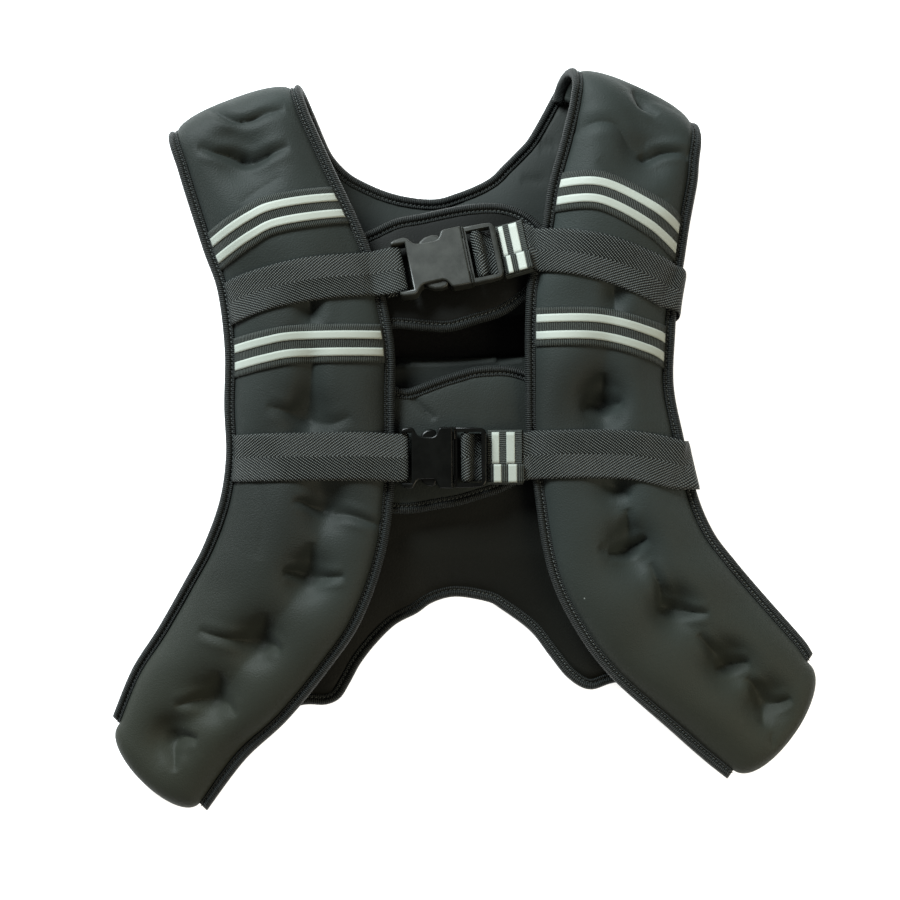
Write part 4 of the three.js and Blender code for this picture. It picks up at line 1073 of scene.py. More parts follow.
@dataclass
class Binding:
    """Ribbed tape rolled over an edge and sewn down along a groove."""

    name: str
    feet: np.ndarray
    outs: np.ndarray
    ups: np.ndarray
    closed: tuple[bool, bool] = (True, True)
    lip: float = 0.9
    step: float = 1.5
    stitch: float = 2.7
    thread: tuple[float, float] = (1.9, 0.62)
    lean: float = 0.35
    profile: Plan = (
        (0.0, 0.62), (0.07, 0.80), (0.15, 0.86), (0.22, 0.74), (0.28, 0.44), (0.34, 0.40), (0.40, 0.66),
        (0.48, 0.92), (0.60, 1.0), (0.74, 0.95), (0.86, 0.76), (0.95, 0.45), (1.0, 0.0), (0.95, -0.5),
        (0.84, -0.85), (0.66, -1.0), (0.45, -0.98), (0.2, -0.85), (0.0, -0.6),
    )

    def rings(self) -> np.ndarray:
        """Section of the roll at each step along the edge."""
        run = arc_steps(self.feet)[-1]
        count = max(8, round(run / self.step))
        rails = np.stack([self.feet, self.feet + self.outs, self.feet + self.ups], axis=1)
        rings = []
        for k, (foot, out, up) in enumerate(even_line(rails, count)):
            out, up = unit(out - foot), unit(up - foot)
            first, last = k if self.closed[0] else count, count - k if self.closed[1] else count
            swell = min(1.0, 0.4 + 0.6 * math.sqrt(min(first, last) * self.step / 2.4))
            swell *= 1 + 0.05 * math.sin(k * 0.83) * math.sin(k * 0.31 + 1.0)
            ring = []
            for u, v in self.profile:
                reach = -self.lip + u * (SIZES.binding_width + self.lip)
                spot = foot + out * reach + up * v * SIZES.binding_height * 0.5 * swell
                spot[2] = max(spot[2], 0.1)
                ring.append(spot)
            rings.append(ring + ring[:1])
        return np.array(rings)

    def build(self, room: Workroom) -> list[bpy.types.Object]:
        """Makes the roll and its row of stitches."""
        rings = self.rings()
        return [room.piece(f"{self.name}_roll", swept(rings), "bound_tape", [self.name]),
                room.piece(f"{self.name}_stitches", self.stitches(rings), "sewing_thread")]

    def stitches(self, rings: np.ndarray) -> bmesh.types.BMesh:
        """Row of short slanting threads along the groove."""
        line = 0.5 * (rings[:, 4] + rings[:, 5])
        count = max(3, round(arc_steps(line)[-1] / self.stitch))
        rails = [line, line + (rings[:, 5] - rings[:, 4]), line + (rings[:, 8] - rings[:, 15])]
        spots = even_line(np.stack(rails, axis=1), count)
        long, thin = self.thread
        bm = bmesh.new()
        for k in range(count):
            along = unit(spots[k + 1, 0] - spots[k, 0])
            up = unit(spots[k, 2] - spots[k, 0])
            side = unit(np.cross(up, along))
            along = unit(along + side * self.lean)
            side = unit(np.cross(up, along))
            basis = Matrix([Vector(along * long), Vector(side * thin), Vector(up * thin)]).transposed()
            centre = spots[k, 0] + up * 0.22
            place = Matrix.Translation(Vector(centre) * MM) @ (basis.to_4x4() @ Matrix.Scale(MM, 4))
            bmesh.ops.create_icosphere(bm, subdivisions=1, radius=thin, matrix=place)
        return bm


def pad_binding(pad: Pad, outer: bool) -> Binding:
    """Binding of one long edge of a pad, from the wing end to the back panel."""
    right = (pad.side == "right") == outer
    frames = [pad.frame(at) for at in np.linspace(0, pad.last + 1, 14 * (pad.last + 1))]
    outs = np.array([f.across if right else -f.across for f in frames])
    feet = np.array([f.right if right else f.left for f in frames]) - outs * SIZES.binding_width
    feet[-1] += unit(feet[-1] - feet[-2]) * 1.6
    name = f"binding_{pad.side}_{'outer' if outer else 'inner'}"
    return Binding(name, feet, outs, np.array([f.normal for f in frames]), closed=(True, False))


def flat_binding(name: str, feet: np.ndarray, outward: float,
                 closed: tuple[bool, bool] = (True, True)) -> Binding:
    """Binding of an edge that lies flat, out to one side of its run of feet."""
    along = np.gradient(feet, axis=0)
    along[:, 2] = 0
    along = units(along)
    outs = np.column_stack([-along[:, 1], along[:, 0], np.zeros(len(feet))]) * outward
    return Binding(name, feet, outs, np.tile(UP, (len(feet), 1)), closed=closed)


# Back panel and flaps.


@dataclass
class BackPanel:
    """Filled back panel between the pads, with its neckline, hem and stepped pocket edge."""

    left: Pad
    right: Pad
    neckline: Plan
    edge_run: Plan
    fill: Plan
    step: Plan = ((-60.0, 50.6), (-34.0, 51.7), (3.6, 53.6), (39.9, 56.2), (62.0, 57.2))
    columns: int = 150
    rows: int = 110
    reach: float = 13.0
    binding_end: float = -1.2
    tuck: float = 4.5
    creases: tuple[Crease, ...] = (
        Crease(((49.0, 193.7), (55.5, 195.0), (62.0, 194.3)), 1.6, 2.0),
        Crease(((37.3, 172.3), (45.8, 171.0), (54.8, 171.6)), 1.4, 2.0),
        Crease(((-60.0, 168.0), (-30.0, 158.0), (0.0, 156.0)), 0.8, 7.0),
        Crease(((-52.0, -66.0), (-20.0, -52.0), (30.0, -50.0)), 1.2, 10.0),
    )

    SHOULDER_SHARE = 0.14
    SIDE_SHARE = 16 / 60
    RELAX_PASSES = 2500
    POCKET_LOW, POCKET_HIGH, POCKET_FILL = 30, 54, 0.55
    STEP_MIDDLE, STEP_HALF, STEP_WIDTH = 2, 62, 1.6
    UPPER_LOW, UPPER_HIGH = 50, 82
    LEAST = 1.2

    def shoulder(self, pad: Pad) -> tuple[np.ndarray, np.ndarray]:
        """Plan points where a pad's shoulder meets the panel."""
        here = pad.frame(pad.last + 1)
        back = self.tuck * facing(pad.heading)[:2]
        return here.left[:2] + back, here.right[:2] + back

    def edges(self, inset: float, neck_steps: int, run_steps: int) -> tuple[np.ndarray, np.ndarray]:
        """Neckline and outer run, moved in by an inset."""
        left_outer, left_inner = self.shoulder(self.left)
        right_inner, right_outer = self.shoulder(self.right)
        scale = np.array([SIZES.width, SIZES.length])
        neck_points = np.vstack([left_inner, np.array(self.neckline[1:-1]) * scale, right_inner])
        run_points = np.vstack([left_outer, np.array(self.edge_run[1:-1]) * scale, right_outer])
        neck = plan_spline(neck_points, neck_steps, -inset)
        run = plan_spline(run_points, run_steps, inset)
        left_way = unit(left_inner - left_outer) * inset
        right_way = unit(right_outer - right_inner) * inset
        neck[0], neck[-1] = left_inner - left_way, right_inner + right_way
        run[0], run[-1] = left_outer + left_way, right_outer - right_way
        return neck, run

    def plan(self) -> np.ndarray:
        """Evened patch of plan points between the four edges."""
        shoulder = round(self.columns * self.SHOULDER_SHARE)
        run_steps = round(self.rows / self.SIDE_SHARE)
        neck, run = self.edges(SIZES.inset, self.columns - 2 * shoulder, run_steps)
        side = round(run_steps * self.SIDE_SHARE)
        left = even_plan(run[:side + 1], self.rows)[::-1]
        bottom = even_plan(run[side:len(run) - side], self.columns)
        right = even_plan(run[len(run) - side - 1:], self.rows)
        share = np.linspace(0, 1, shoulder + 1)[:, None]
        top = np.vstack([(left[-1] * (1 - share) + neck[0] * share)[:-1], neck,
                         (neck[-1] * (1 - share) + right[-1] * share)[1:]])
        u = np.linspace(0, 1, self.columns + 1)[None, :, None]
        v = np.linspace(0, 1, self.rows + 1)[:, None, None]
        grid = bottom[None] * (1 - v) + top[None] * v + left[:, None] * (1 - u) + right[:, None] * u
        grid = grid - bottom[0] * (1 - u) * (1 - v) - bottom[-1] * u * (1 - v)
        grid = grid - top[0] * (1 - u) * v - top[-1] * u * v
        for _ in range(self.RELAX_PASSES):
            beside = grid[:-2, 1:-1] + grid[2:, 1:-1] + grid[1:-1, :-2] + grid[1:-1, 2:]
            grid[1:-1, 1:-1] = 0.25 * beside
        return grid

    def height(self, plan: np.ndarray) -> np.ndarray:
        """Height of the top face over plan points."""
        rim = np.vstack([plan[0], plan[:, -1], plan[-1, ::-1], plan[::-1, 0]])
        points = plan.reshape(-1, 2)
        far, _, _ = polyline_distance(points, rim[::4])
        table = np.array(self.fill)
        y = points[:, 1]
        rise = np.interp(y / SIZES.length, table[:, 0], table[:, 1])
        pocket = (y > self.POCKET_LOW) & (y < self.POCKET_HIGH)
        rise = np.where(pocket, np.maximum(rise, self.POCKET_FILL), rise) * SIZES.pad_crown
        z = SIZES.back_edge + rise * (1 - np.exp(-far / self.reach))
        edge, _, side = polyline_distance(points, np.array(self.step))
        beside = np.maximum(np.abs(points[:, 0] - self.STEP_MIDDLE) - self.STEP_HALF, 0)
        above = np.clip(0.5 + side * edge / self.STEP_WIDTH, 0, 1)
        fade = np.exp(-np.maximum(y - self.UPPER_HIGH, 0) / 9)
        floor = 2.4 + 0.03 * np.maximum(y - self.UPPER_LOW, 0)
        z = z + (np.minimum(z, floor) - z) * above * fade * np.exp(-beside / 4)
        for crease in self.creases:
            off, share, _ = polyline_distance(points, np.array(crease.line))
            z -= crease.depth * tapered(share) * np.exp(-off / crease.width)
        return np.maximum(z, self.LEAST).reshape(plan.shape[:2])

    def build(self, room: Workroom) -> list[bpy.types.Object]:
        """Makes the panel and its bindings."""
        plan = self.plan()
        top = np.dstack([plan, self.height(plan)])
        bm = swept(top, closed=False, capped=False)
        made = bmesh.ops.extrude_face_region(bm, geom=list(bm.faces))
        raised = {item for item in made["geom"] if isinstance(item, bmesh.types.BMVert)}
        for vert in bm.verts:
            if vert not in raised:
                vert.co.z = 0.0002
        bmesh.ops.recalc_face_normals(bm, faces=bm.faces)
        panel = room.piece("back_panel_cloth", bm, "neoprene_back", ["back_panel"])
        neck, run = self.edges(SIZES.binding_width, 90, 420)
        pieces = [panel]
        for name, line, outward in (("binding_neckline", neck, 1.0), ("binding_back", run, -1.0)):
            feet = np.column_stack([line, np.full(len(line), SIZES.binding_height * 0.5)])
            feet[0] += unit(feet[1] - feet[0]) * self.binding_end
            feet[-1] += unit(feet[-2] - feet[-1]) * self.binding_end
            pieces += flat_binding(name, feet, outward, (False, False)).build(room)
        return pieces


@dataclass
class Flap:
    """Inner neoprene flap behind a buckle, bound along both long edges."""

    level: str
    rows: Rows
    creases: tuple[Crease, ...] = ()
    finish: str = "neoprene_back"
    columns: int = 110
    across: int = 60

    def point(self, u: float, v: float) -> np.ndarray:
        """Point of the middle surface: u along it, v from its low edge to its high edge."""
        table = np.array(self.rows)
        x, low, high, low_z, high_z = smooth(table, u * (len(table) - 1))
        low_y = low * SIZES.length + SIZES.binding_width
        high_y = high * SIZES.length - SIZES.binding_width
        y = low_y + (max(high_y, low_y + 1) - low_y) * v
        return np.array([x * SIZES.width, y, (low_z + (high_z - low_z) * v) * SIZES.stack])

    def build(self, room: Workroom) -> list[bpy.types.Object]:
        """Makes the flap and its two bindings."""
        rings = []
        for k in range(self.columns + 1):
            u = k / self.columns
            ends = pillow(0.04 + 0.92 * u)
            top, low = [], []
            for j in range(self.across + 1):
                v = j / self.across
                lift = 0.5 * SIZES.pad_edge + (SIZES.flap_thickness - SIZES.pad_edge) * pillow(v) * ends
                spot = self.point(u, v)
                top.append(spot + UP * lift)
                low.append(spot - UP * 0.5 * SIZES.pad_edge)
            rings.append(top + low[::-1] + top[:1])
        rings = np.array(rings)
        for crease in self.creases:
            far, share, _ = polyline_distance(rings.reshape(-1, 3)[:, :2], plan_spline(crease.line, 16))
            drop = crease.depth * tapered(share) * np.exp(-far / crease.width)
            rings[:, :, 2] -= drop.reshape(rings.shape[:2])
        flap = room.piece(f"flap_{self.level}_cloth", swept(rings), self.finish, [f"flap_{self.level}"])
        pieces = [flap]
        for name, v, outward in (("top", 1.0, 1.0), ("bottom", 0.0, -1.0)):
            feet = np.array([self.point(u, v) for u in np.linspace(0, 1, 80)])
            label = f"flap_{self.level}_{name}_binding"
            pieces += flat_binding(label, feet, outward).build(room)
        return pieces


# Bands and webbing.


@dataclass
class Band:
    """Ribbed tape sewn across a pad, with two silver stripes."""

    name: str
    pad: Pad
    line: Plan
    base: float = 0.25
    reach: float = 0.985
    columns: int = 76
    across: int = 12

    def height(self, x: np.ndarray) -> np.ndarray:
        """Plan height of the centre line over an x."""
        rows = np.array(self.line) * np.array([SIZES.width, SIZES.length])
        dense = np.array([smooth(rows, t) for t in np.linspace(0, len(rows) - 1, 61)])
        slope = (dense[-1, 1] - dense[-2, 1]) / (dense[-1, 0] - dense[-2, 0])
        first = (dense[1, 1] - dense[0, 1]) / (dense[1, 0] - dense[0, 0])
        inside = np.interp(x, dense[:, 0], dense[:, 1])
        inside = np.where(x < dense[0, 0], dense[0, 1] + first * (x - dense[0, 0]), inside)
        return np.where(x > dense[-1, 0], dense[-1, 1] + slope * (x - dense[-1, 0]), inside)

    def strip(self, ground: Ground, offsets: Sequence[float], lifts: tuple[float, float],
              across: int) -> np.ndarray:
        """Rings of a strip that lies on the pad between two sideways offsets."""
        rings = []
        for k in range(self.columns + 1):
            v = 2 * k / self.columns - 1
            s = 0.5 + 0.5 * math.copysign(1 - (1 - abs(v)) ** 1.25, v) * self.reach
            low, top = [], []
            for j in range(across + 1):
                offset = offsets[0] + (offsets[1] - offsets[0]) * j / across
                here = self.pad.stop_at(s, offset, self.height)
                spot = self.pad.point(here, s, True)
                found = ground.touch(spot[0], spot[1])
                if found:
                    spot[2] = found[0]
                normal = unit(found[1] + UP * 0.4) if found else UP
                low.append(spot + normal * lifts[0])
                top.append(spot + normal * lifts[1])
            rings.append(low + top[::-1] + low[:1])
        return eased(np.array(rings), 3)

    def build(self, room: Workroom, ground: Ground) -> list[bpy.types.Object]:
        """Makes the tape and its stripes."""
        half = SIZES.band_width * 0.5
        top = self.base + SIZES.band_thickness
        bm = swept(self.strip(ground, (-half, half), (self.base, top), self.across))
        pieces = [room.piece(f"band_{self.name}_tape", bm, "ribbed_elastic", [f"band_{self.name}"])]
        over = Ground()
        over.add(pieces[0])
        for label, middle in (("a", SIZES.stripe_offset), ("b", -SIZES.stripe_offset)):
            sides = (middle - SIZES.stripe_width * 0.5, middle + SIZES.stripe_width * 0.5)
            rings = self.strip(over, sides, (0.04, 0.04 + SIZES.stripe_thickness), 4)
            node = f"stripe_{self.name}_{label}"
            pieces.append(room.piece(f"{node}_silver", swept(rings), "silver_stripe", [node]))
        return pieces


@dataclass
class Webbing:
    """Flat herringbone webbing through a line of rungs."""

    name: str
    rungs: np.ndarray
    step: float = 1.2
    passes: int = 4
    run_sign: float = 1.0

    def build(self, room: Workroom) -> bpy.types.Object:
        """Makes the webbing with both faces and rounded edges."""
        run = arc_steps(self.rungs.mean(axis=1))[-1]
        rungs = eased(even_line(self.rungs, round(run / self.step)), self.passes)
        along = np.gradient(rungs.mean(axis=1), axis=0)
        across = rungs[:, -1] - rungs[:, 0]
        normal = units(np.cross(across, along))
        edge = np.ones(rungs.shape[1])
        edge[[0, -1]] = 0.45
        half = (edge * SIZES.webbing_thickness * 0.5)[None, :, None] * normal[:, None, :]
        rings = np.concatenate([rungs + half, (rungs - half)[:, ::-1], (rungs + half)[:, :1]], axis=1)
        bm = swept(rings)
        sheet_uv(bm, float(np.linalg.norm(across, axis=1).mean()) * 0.5, self.run_sign)
        return room.piece(f"{self.name}_strap", bm, "herringbone_webbing", [self.name])


CLIP_BAR = 3
CLIP_RADIUS = 2.9
LADDER_BAR = 54.5
LADDER_RADIUS = 2.9
KEEPER_START = 68.9
WEBBING_LEVEL = -4.8
LAYER_GAP = 0.6
LOOP_HALF = 0.48


@dataclass(frozen=True)
class BucklePlace:
    """Where a buckle lies and how it is turned, with the climb of the webbing through its keeper."""

    level: str
    body: float
    keeper: float
    x: float
    y: float
    z: float
    turn: float
    tilt: float
    rise: float

    @property
    def axes(self) -> tuple[np.ndarray, np.ndarray, np.ndarray, np.ndarray]:
        """Origin, then the directions along, across towards the neck, and up out of the buckle."""
        tilt = math.radians(self.tilt)
        a = facing(self.turn)
        b = np.array([-a[1], a[0], 0.0]) * math.cos(tilt) - UP * math.sin(tilt)
        origin = np.array([self.x * SIZES.width, self.y * SIZES.length, self.z * SIZES.stack])
        return origin, a, b, np.cross(a, b)

    @property
    def slope(self) -> float:
        """Climb of the webbing along the keeper."""
        return self.rise / self.keeper

    def along_body(self, x: float) -> float:
        """Place along the slotted half, whose open end stays put when it is shorter."""
        return 46 - (46 - x) * self.body

    def matrix(self) -> Matrix:
        """Transform from the buckle's own millimetres to metres in the scene."""
        origin, a, b, c = self.axes
        turn = Matrix([Vector(a), Vector(b), Vector(c)]).transposed().to_4x4()
        return Matrix.Translation(Vector(origin) * MM) @ turn @ Matrix.Scale(MM, 4)

    def rungs(self, path: Sequence[tuple[float, float]], half: float, count: int = 13) -> np.ndarray:
        """Rungs of webbing along a path of (along, up) points in the buckle's own plane."""
        origin, a, b, c = self.axes
        shares = np.linspace(1, -1, count)
        return np.array([[origin + a * u + c * w + b * half * v for v in shares] for u, w in path])


@dataclass
class Straps:
    """The four runs of webbing, laid on the pads and looped round the buckle bars."""

    place: BucklePlace
    pads: tuple[Pad, Pad]
    left_rows: Rows
    right_rows: Rows
    floor: float
    wrap: tuple[float, float, float, float]
    lay: float = 0.35
    count: int = 13

    STEP = 2.2
    LOOK_ASIDE = 1.4
    TAUT_PASSES = 400
    SAG = 0.006
    WRAP_TURN = 66

    def laid(self, rows: Rows, ground: Ground, floor: float) -> np.ndarray:
        """Rungs of webbing pulled taut over what it lies on.

        Args:
            rows: Centre line: x and y in shares, lean in degrees, span as a share of its width.
            ground: Surfaces below.
            floor: Least height in millimetres.

        Returns:
            Array of rungs.
        """
        table = np.array(rows)
        length = np.linalg.norm((table[-1, :2] - table[0, :2]) * [SIZES.width, SIZES.length])
        plan = []
        for at in np.linspace(0, len(table) - 1, round(length / self.STEP) + 1):
            x, y, lean, span = smooth(table, at)
            lean = math.radians(lean)
            half = span * SIZES.webbing_width * 0.5
            away = np.array([math.sin(lean), -math.cos(lean)])
            centre = np.array([x * SIZES.width, y * SIZES.length])
            plan.append([centre + away * half * v for v in np.linspace(-1, 1, self.count)])
        plan = np.array(plan)
        aside = (-self.LOOK_ASIDE, 0, self.LOOK_ASIDE)
        base = np.array([[max(ground.height(x + dx, y, floor) for dx in aside) for x, y in row]
                         for row in plan])
        base += self.lay + SIZES.webbing_thickness * 0.5
        z = base.copy()
        for _ in range(self.TAUT_PASSES):
            z[1:-1] = np.maximum(base[1:-1], 0.5 * (z[:-2] + z[2:]) - self.SAG)
        for _ in range(2):
            evened = 0.25 * z[:, :-2] + 0.5 * z[:, 1:-1] + 0.25 * z[:, 2:]
            z[:, 1:-1] = np.maximum(base[:, 1:-1], evened)
        return np.dstack([plan, z])

    def left(self, room: Workroom, ground: Ground) -> bpy.types.Object:
        """Run from under the outer binding of the left pad to the clip bar."""
        rows = [list(row) for row in self.left_rows]
        first = [rows[0][k] - 0.5 * (rows[1][k] - rows[0][k]) for k in range(4)]
        laid = self.laid([first, *rows], ground, 0.0)
        clip = self.place.along_body(CLIP_BAR)
        radius = CLIP_RADIUS
        path = [(clip - 5, radius), (clip - 1, radius)]
        turn = np.radians([60, 30, 0, -30, -60])
        path += [(clip + radius * math.cos(r), radius * math.sin(r)) for r in turn]
        path += [(clip - 1, -radius), (clip - 6, -radius), (clip - 11, -radius - 0.6)]
        looped = self.place.rungs(path, SIZES.webbing_width * LOOP_HALF, self.count)
        name = f"webbing_{self.place.level}_left"
        return Webbing(name, np.concatenate([laid, looped]), run_sign=-1.0).build(room)

    def right(self, room: Workroom, ground: Ground) -> bpy.types.Object:
        """Run round the ladder bar, through the keeper, over the right pad and round its outer edge."""
        start, level = KEEPER_START, WEBBING_LEVEL
        end = start + self.place.keeper
        slope = self.place.slope

        def upper(u: float, drop: float = 0.0) -> tuple[float, float]:
            """Point of the upper layer, or of the layer that lies a drop below it."""
            return u, level + max(0.0, u - start) * slope - drop

        below = SIZES.webbing_thickness + LAYER_GAP
        turn = np.radians([175, 140, 110, 80, 50, 8])
        path = [upper(u, below) for u in (end - 1, start + 6, start)]
        path += [(56.2, -6.6), (53.4, -6.0), (51.9, -4.4), (51.4, -2.2)]
        path += [(LADDER_BAR + LADDER_RADIUS * math.cos(r), LADDER_RADIUS * math.sin(r)) for r in turn]
        path += [(58.2, -2.2), (60, -4.2), (62.5, level)]
        path += [upper(u) for u in (start, end - 4, end + 0.5)]
        looped = self.place.rungs(path, SIZES.webbing_width * LOOP_HALF, self.count)
        laid = self.laid(self.right_rows, ground, self.floor * SIZES.stack)
        name = f"webbing_{self.place.level}_right"
        return Webbing(name, np.concatenate([looped, laid, self.wrapped()])).build(room)

    def wrapped(self) -> np.ndarray:
        """Turn of the webbing round the outer edge of the right pad and back below it."""
        radius, inward, drop, slip = self.wrap
        x, y, lean, span = self.right_rows[-1]
        lean = math.radians(lean)
        half = span * SIZES.webbing_width * 0.5
        sides = []
        for v in np.linspace(-1, 1, self.count):
            px = x * SIZES.width + math.sin(lean) * v * half
            py = y * SIZES.length - math.cos(lean) * v * half
            here = self.pads[1].edge_at(px, py)
            sides.append((here.right - here.across * SIZES.binding_width * 0.5, here.across, here.normal))
        across = unit(sides[-1][0] - sides[0][0])
        rungs = []
        for angle in range(self.WRAP_TURN, -self.WRAP_TURN - 1, -22):
            r = math.radians(angle)
            slide = across * slip * (self.WRAP_TURN - angle) / (2 * self.WRAP_TURN)
            rungs.append([c + (out * math.cos(r) + up * math.sin(r)) * radius + slide
                          for c, out, up in sides])
        for f in (0.45, 1.0):
            rungs.append([c - out * inward * f + across * slip - up * (radius + drop * f)
                          for c, out, up in sides])
        return np.array(rungs)


# Buckles and keepers.


ROUNDED = {"segments": 3, "profile": 0.5, "affect": "EDGES", "clamp_overlap": True, "material": -1}


def plate(outline: Rows, thickness: float, bevel: float) -> bmesh.types.BMesh:
    """Flat plate of a plan outline about height 0, with rounded rims.

    Args:
        outline: Plan points in order.
        thickness: Thickness of the plate.
        bevel: Radius of its rims.

    Returns:
        The mesh in the buckle's own millimetres.
    """
    bm = bmesh.new()
    base = bm.faces.new([bm.verts.new((x, y, -thickness * 0.5)) for x, y in outline])
    made = bmesh.ops.extrude_face_region(bm, geom=[base])
    raised = [item for item in made["geom"] if isinstance(item, bmesh.types.BMVert)]
    bmesh.ops.translate(bm, verts=raised, vec=(0, 0, thickness))
    bmesh.ops.recalc_face_normals(bm, faces=bm.faces)
    rims = [e for e in bm.edges if len({round(abs(f.normal.z)) for f in e.link_faces}) == 2]
    bmesh.ops.bevel(bm, geom=rims, offset=bevel, **ROUNDED)
    return bm


def block(low: Sequence[float], high: Sequence[float]) -> bmesh.types.BMesh:
    """Box between two corners, used to cut with."""
    bm = bmesh.new()
    bmesh.ops.create_cube(bm, size=1)
    middle = [(a + b) * 0.5 for a, b in zip(low, high)]
    bmesh.ops.scale(bm, verts=bm.verts, vec=[b - a for a, b in zip(low, high)])
    bmesh.ops.translate(bm, verts=bm.verts, vec=middle)
    return bm


def rod(at: float, height: float, radius: float, length: float) -> bmesh.types.BMesh:
    """Round bar across the buckle, capped at both ends."""
    bm = bmesh.new()
    turn = Matrix.Translation((at, 0, height)) @ Matrix.Rotation(math.radians(90), 4, "X")
    bmesh.ops.create_cone(bm, cap_ends=True, segments=20, radius1=radius, radius2=radius, depth=length,
                          matrix=turn)
    return bm


def joined(*parts: bmesh.types.BMesh) -> bmesh.types.BMesh:
    """All parts in one mesh."""
    whole = bmesh.new()
    for part in parts:
        mesh = as_mesh("part", part)
        whole.from_mesh(mesh)
        bpy.data.meshes.remove(mesh)
    return whole


def carved(body: bmesh.types.BMesh, *cutters: bmesh.types.BMesh) -> bmesh.types.BMesh:
    """A body with cutters taken out of it.

    Args:
        body: Closed mesh, freed here.
        cutters: Closed meshes, freed here.

    Returns:
        The cut mesh.
    """
    objects = []
    for label, bm in (("body", body), *((f"cutter_{k}", c) for k, c in enumerate(cutters))):
        objects.append(placed(label, as_mesh(label, bm)))
    for cutter in objects[1:]:
        cut = objects[0].modifiers.new("cut", "BOOLEAN")
        cut.operation = "DIFFERENCE"
        cut.solver = "EXACT"
        cut.object = cutter
    depsgraph = bpy.context.evaluated_depsgraph_get()
    made = bmesh.new()
    made.from_object(objects[0], depsgraph)
    for item in objects:
        mesh = item.data
        bpy.data.objects.remove(item)
        bpy.data.meshes.remove(mesh)
    return made


def both_sides(half: Rows) -> list[tuple[float, float]]:
    """Outline made of a half outline and its mirror image."""
    return [(x, y) for x, y in half] + [(x, -y) for x, y in reversed(half)]


@dataclass
class Buckle:
    """Side-release buckle: slotted half with two scoops, and ladder half with its prongs inside."""

    place: BucklePlace
    finish: str
    half_width: float = 19.65
    thickness: float = 11.0

    def slotted(self) -> bmesh.types.BMesh:
        """Body with side scoops, horns that carry the clip bar, and the pocket for the prongs."""
        wide, at = self.half_width, self.place.along_body
        half = [
            (9.2, 15.9), (0.2, 15.9), (0.2, 17.6), (2, 18.8), (6, 19.3), (9, wide - 0.1),
            (11.2, wide - 1.0),
            (12.6, 16.8), (14.2, 14.8), (16.4, 13.7), (20, 13.4), (28.2, 13.3), (30.4, 14.2), (32, 16.2),
            (33.0, 18.4), (34.5, wide - 0.2), (46, wide),
        ]
        body = plate(both_sides([(at(x), y) for x, y in half]), self.thickness, 1.0)
        pocket = block((at(15.9), -17.2, -3.5), (47.5, 17.2, 3.5))
        notch = block((at(8.9), -15.9, -6), (at(9.4), 15.9, 6))
        return joined(carved(body, pocket, notch), rod(at(CLIP_BAR), 0, 2, 33))

    def ladder(self) -> bmesh.types.BMesh:
        """Ladder frame with its bar, and two sprung prongs with rounded thumb pads."""
        wide, at = self.half_width, self.place.along_body
        outline = both_sides([(46.3, wide - 0.3), (60, wide - 0.5), (64.6, wide - 0.9), (66.6, wide - 2.2),
                              (67.5, wide - 4.4)])
        window = block((48.7, -16.2, -8), (64.2, 16.2, 8))
        shell = carved(plate(outline, 6.5, 1.0), window)
        rail = both_sides([(46.3, 10.5), (47.6, 12), (47.6, wide - 0.4), (46.3, wide - 0.4)])
        collar = plate(rail, 9.4, 0.5)
        prong = [
            (47.5, 9), (30, 9.4), (20, 9.6), (16.9, 10.9), (17.1, 13.4), (19.0, 15.9), (22.4, 17.7),
            (27, 18.3),
            (30.6, 17.5), (32, 14.6), (36, 15.4), (44, 16.5), (47.5, 16.5),
        ]
        near = [(at(x), y) for x, y in prong]
        far = [(x, -y) for x, y in reversed(near)]
        bar = rod(LADDER_BAR, 0, 1.6, 34)
        return joined(shell, collar, bar, plate(near, 6.4, 1.3), plate(far, 6.4, 1.3))

    def build(self, room: Workroom) -> list[bpy.types.Object]:
        """Makes both halves in place."""
        pieces = []
        for label, bm in (("female", self.slotted()), ("male", self.ladder())):
            bmesh.ops.transform(bm, matrix=self.place.matrix(), verts=bm.verts)
            node = f"buckle_{self.place.level}_{label}"
            pieces.append(room.piece(f"{node}_moulding", bm, self.finish, [node], sharp=38))
        return pieces


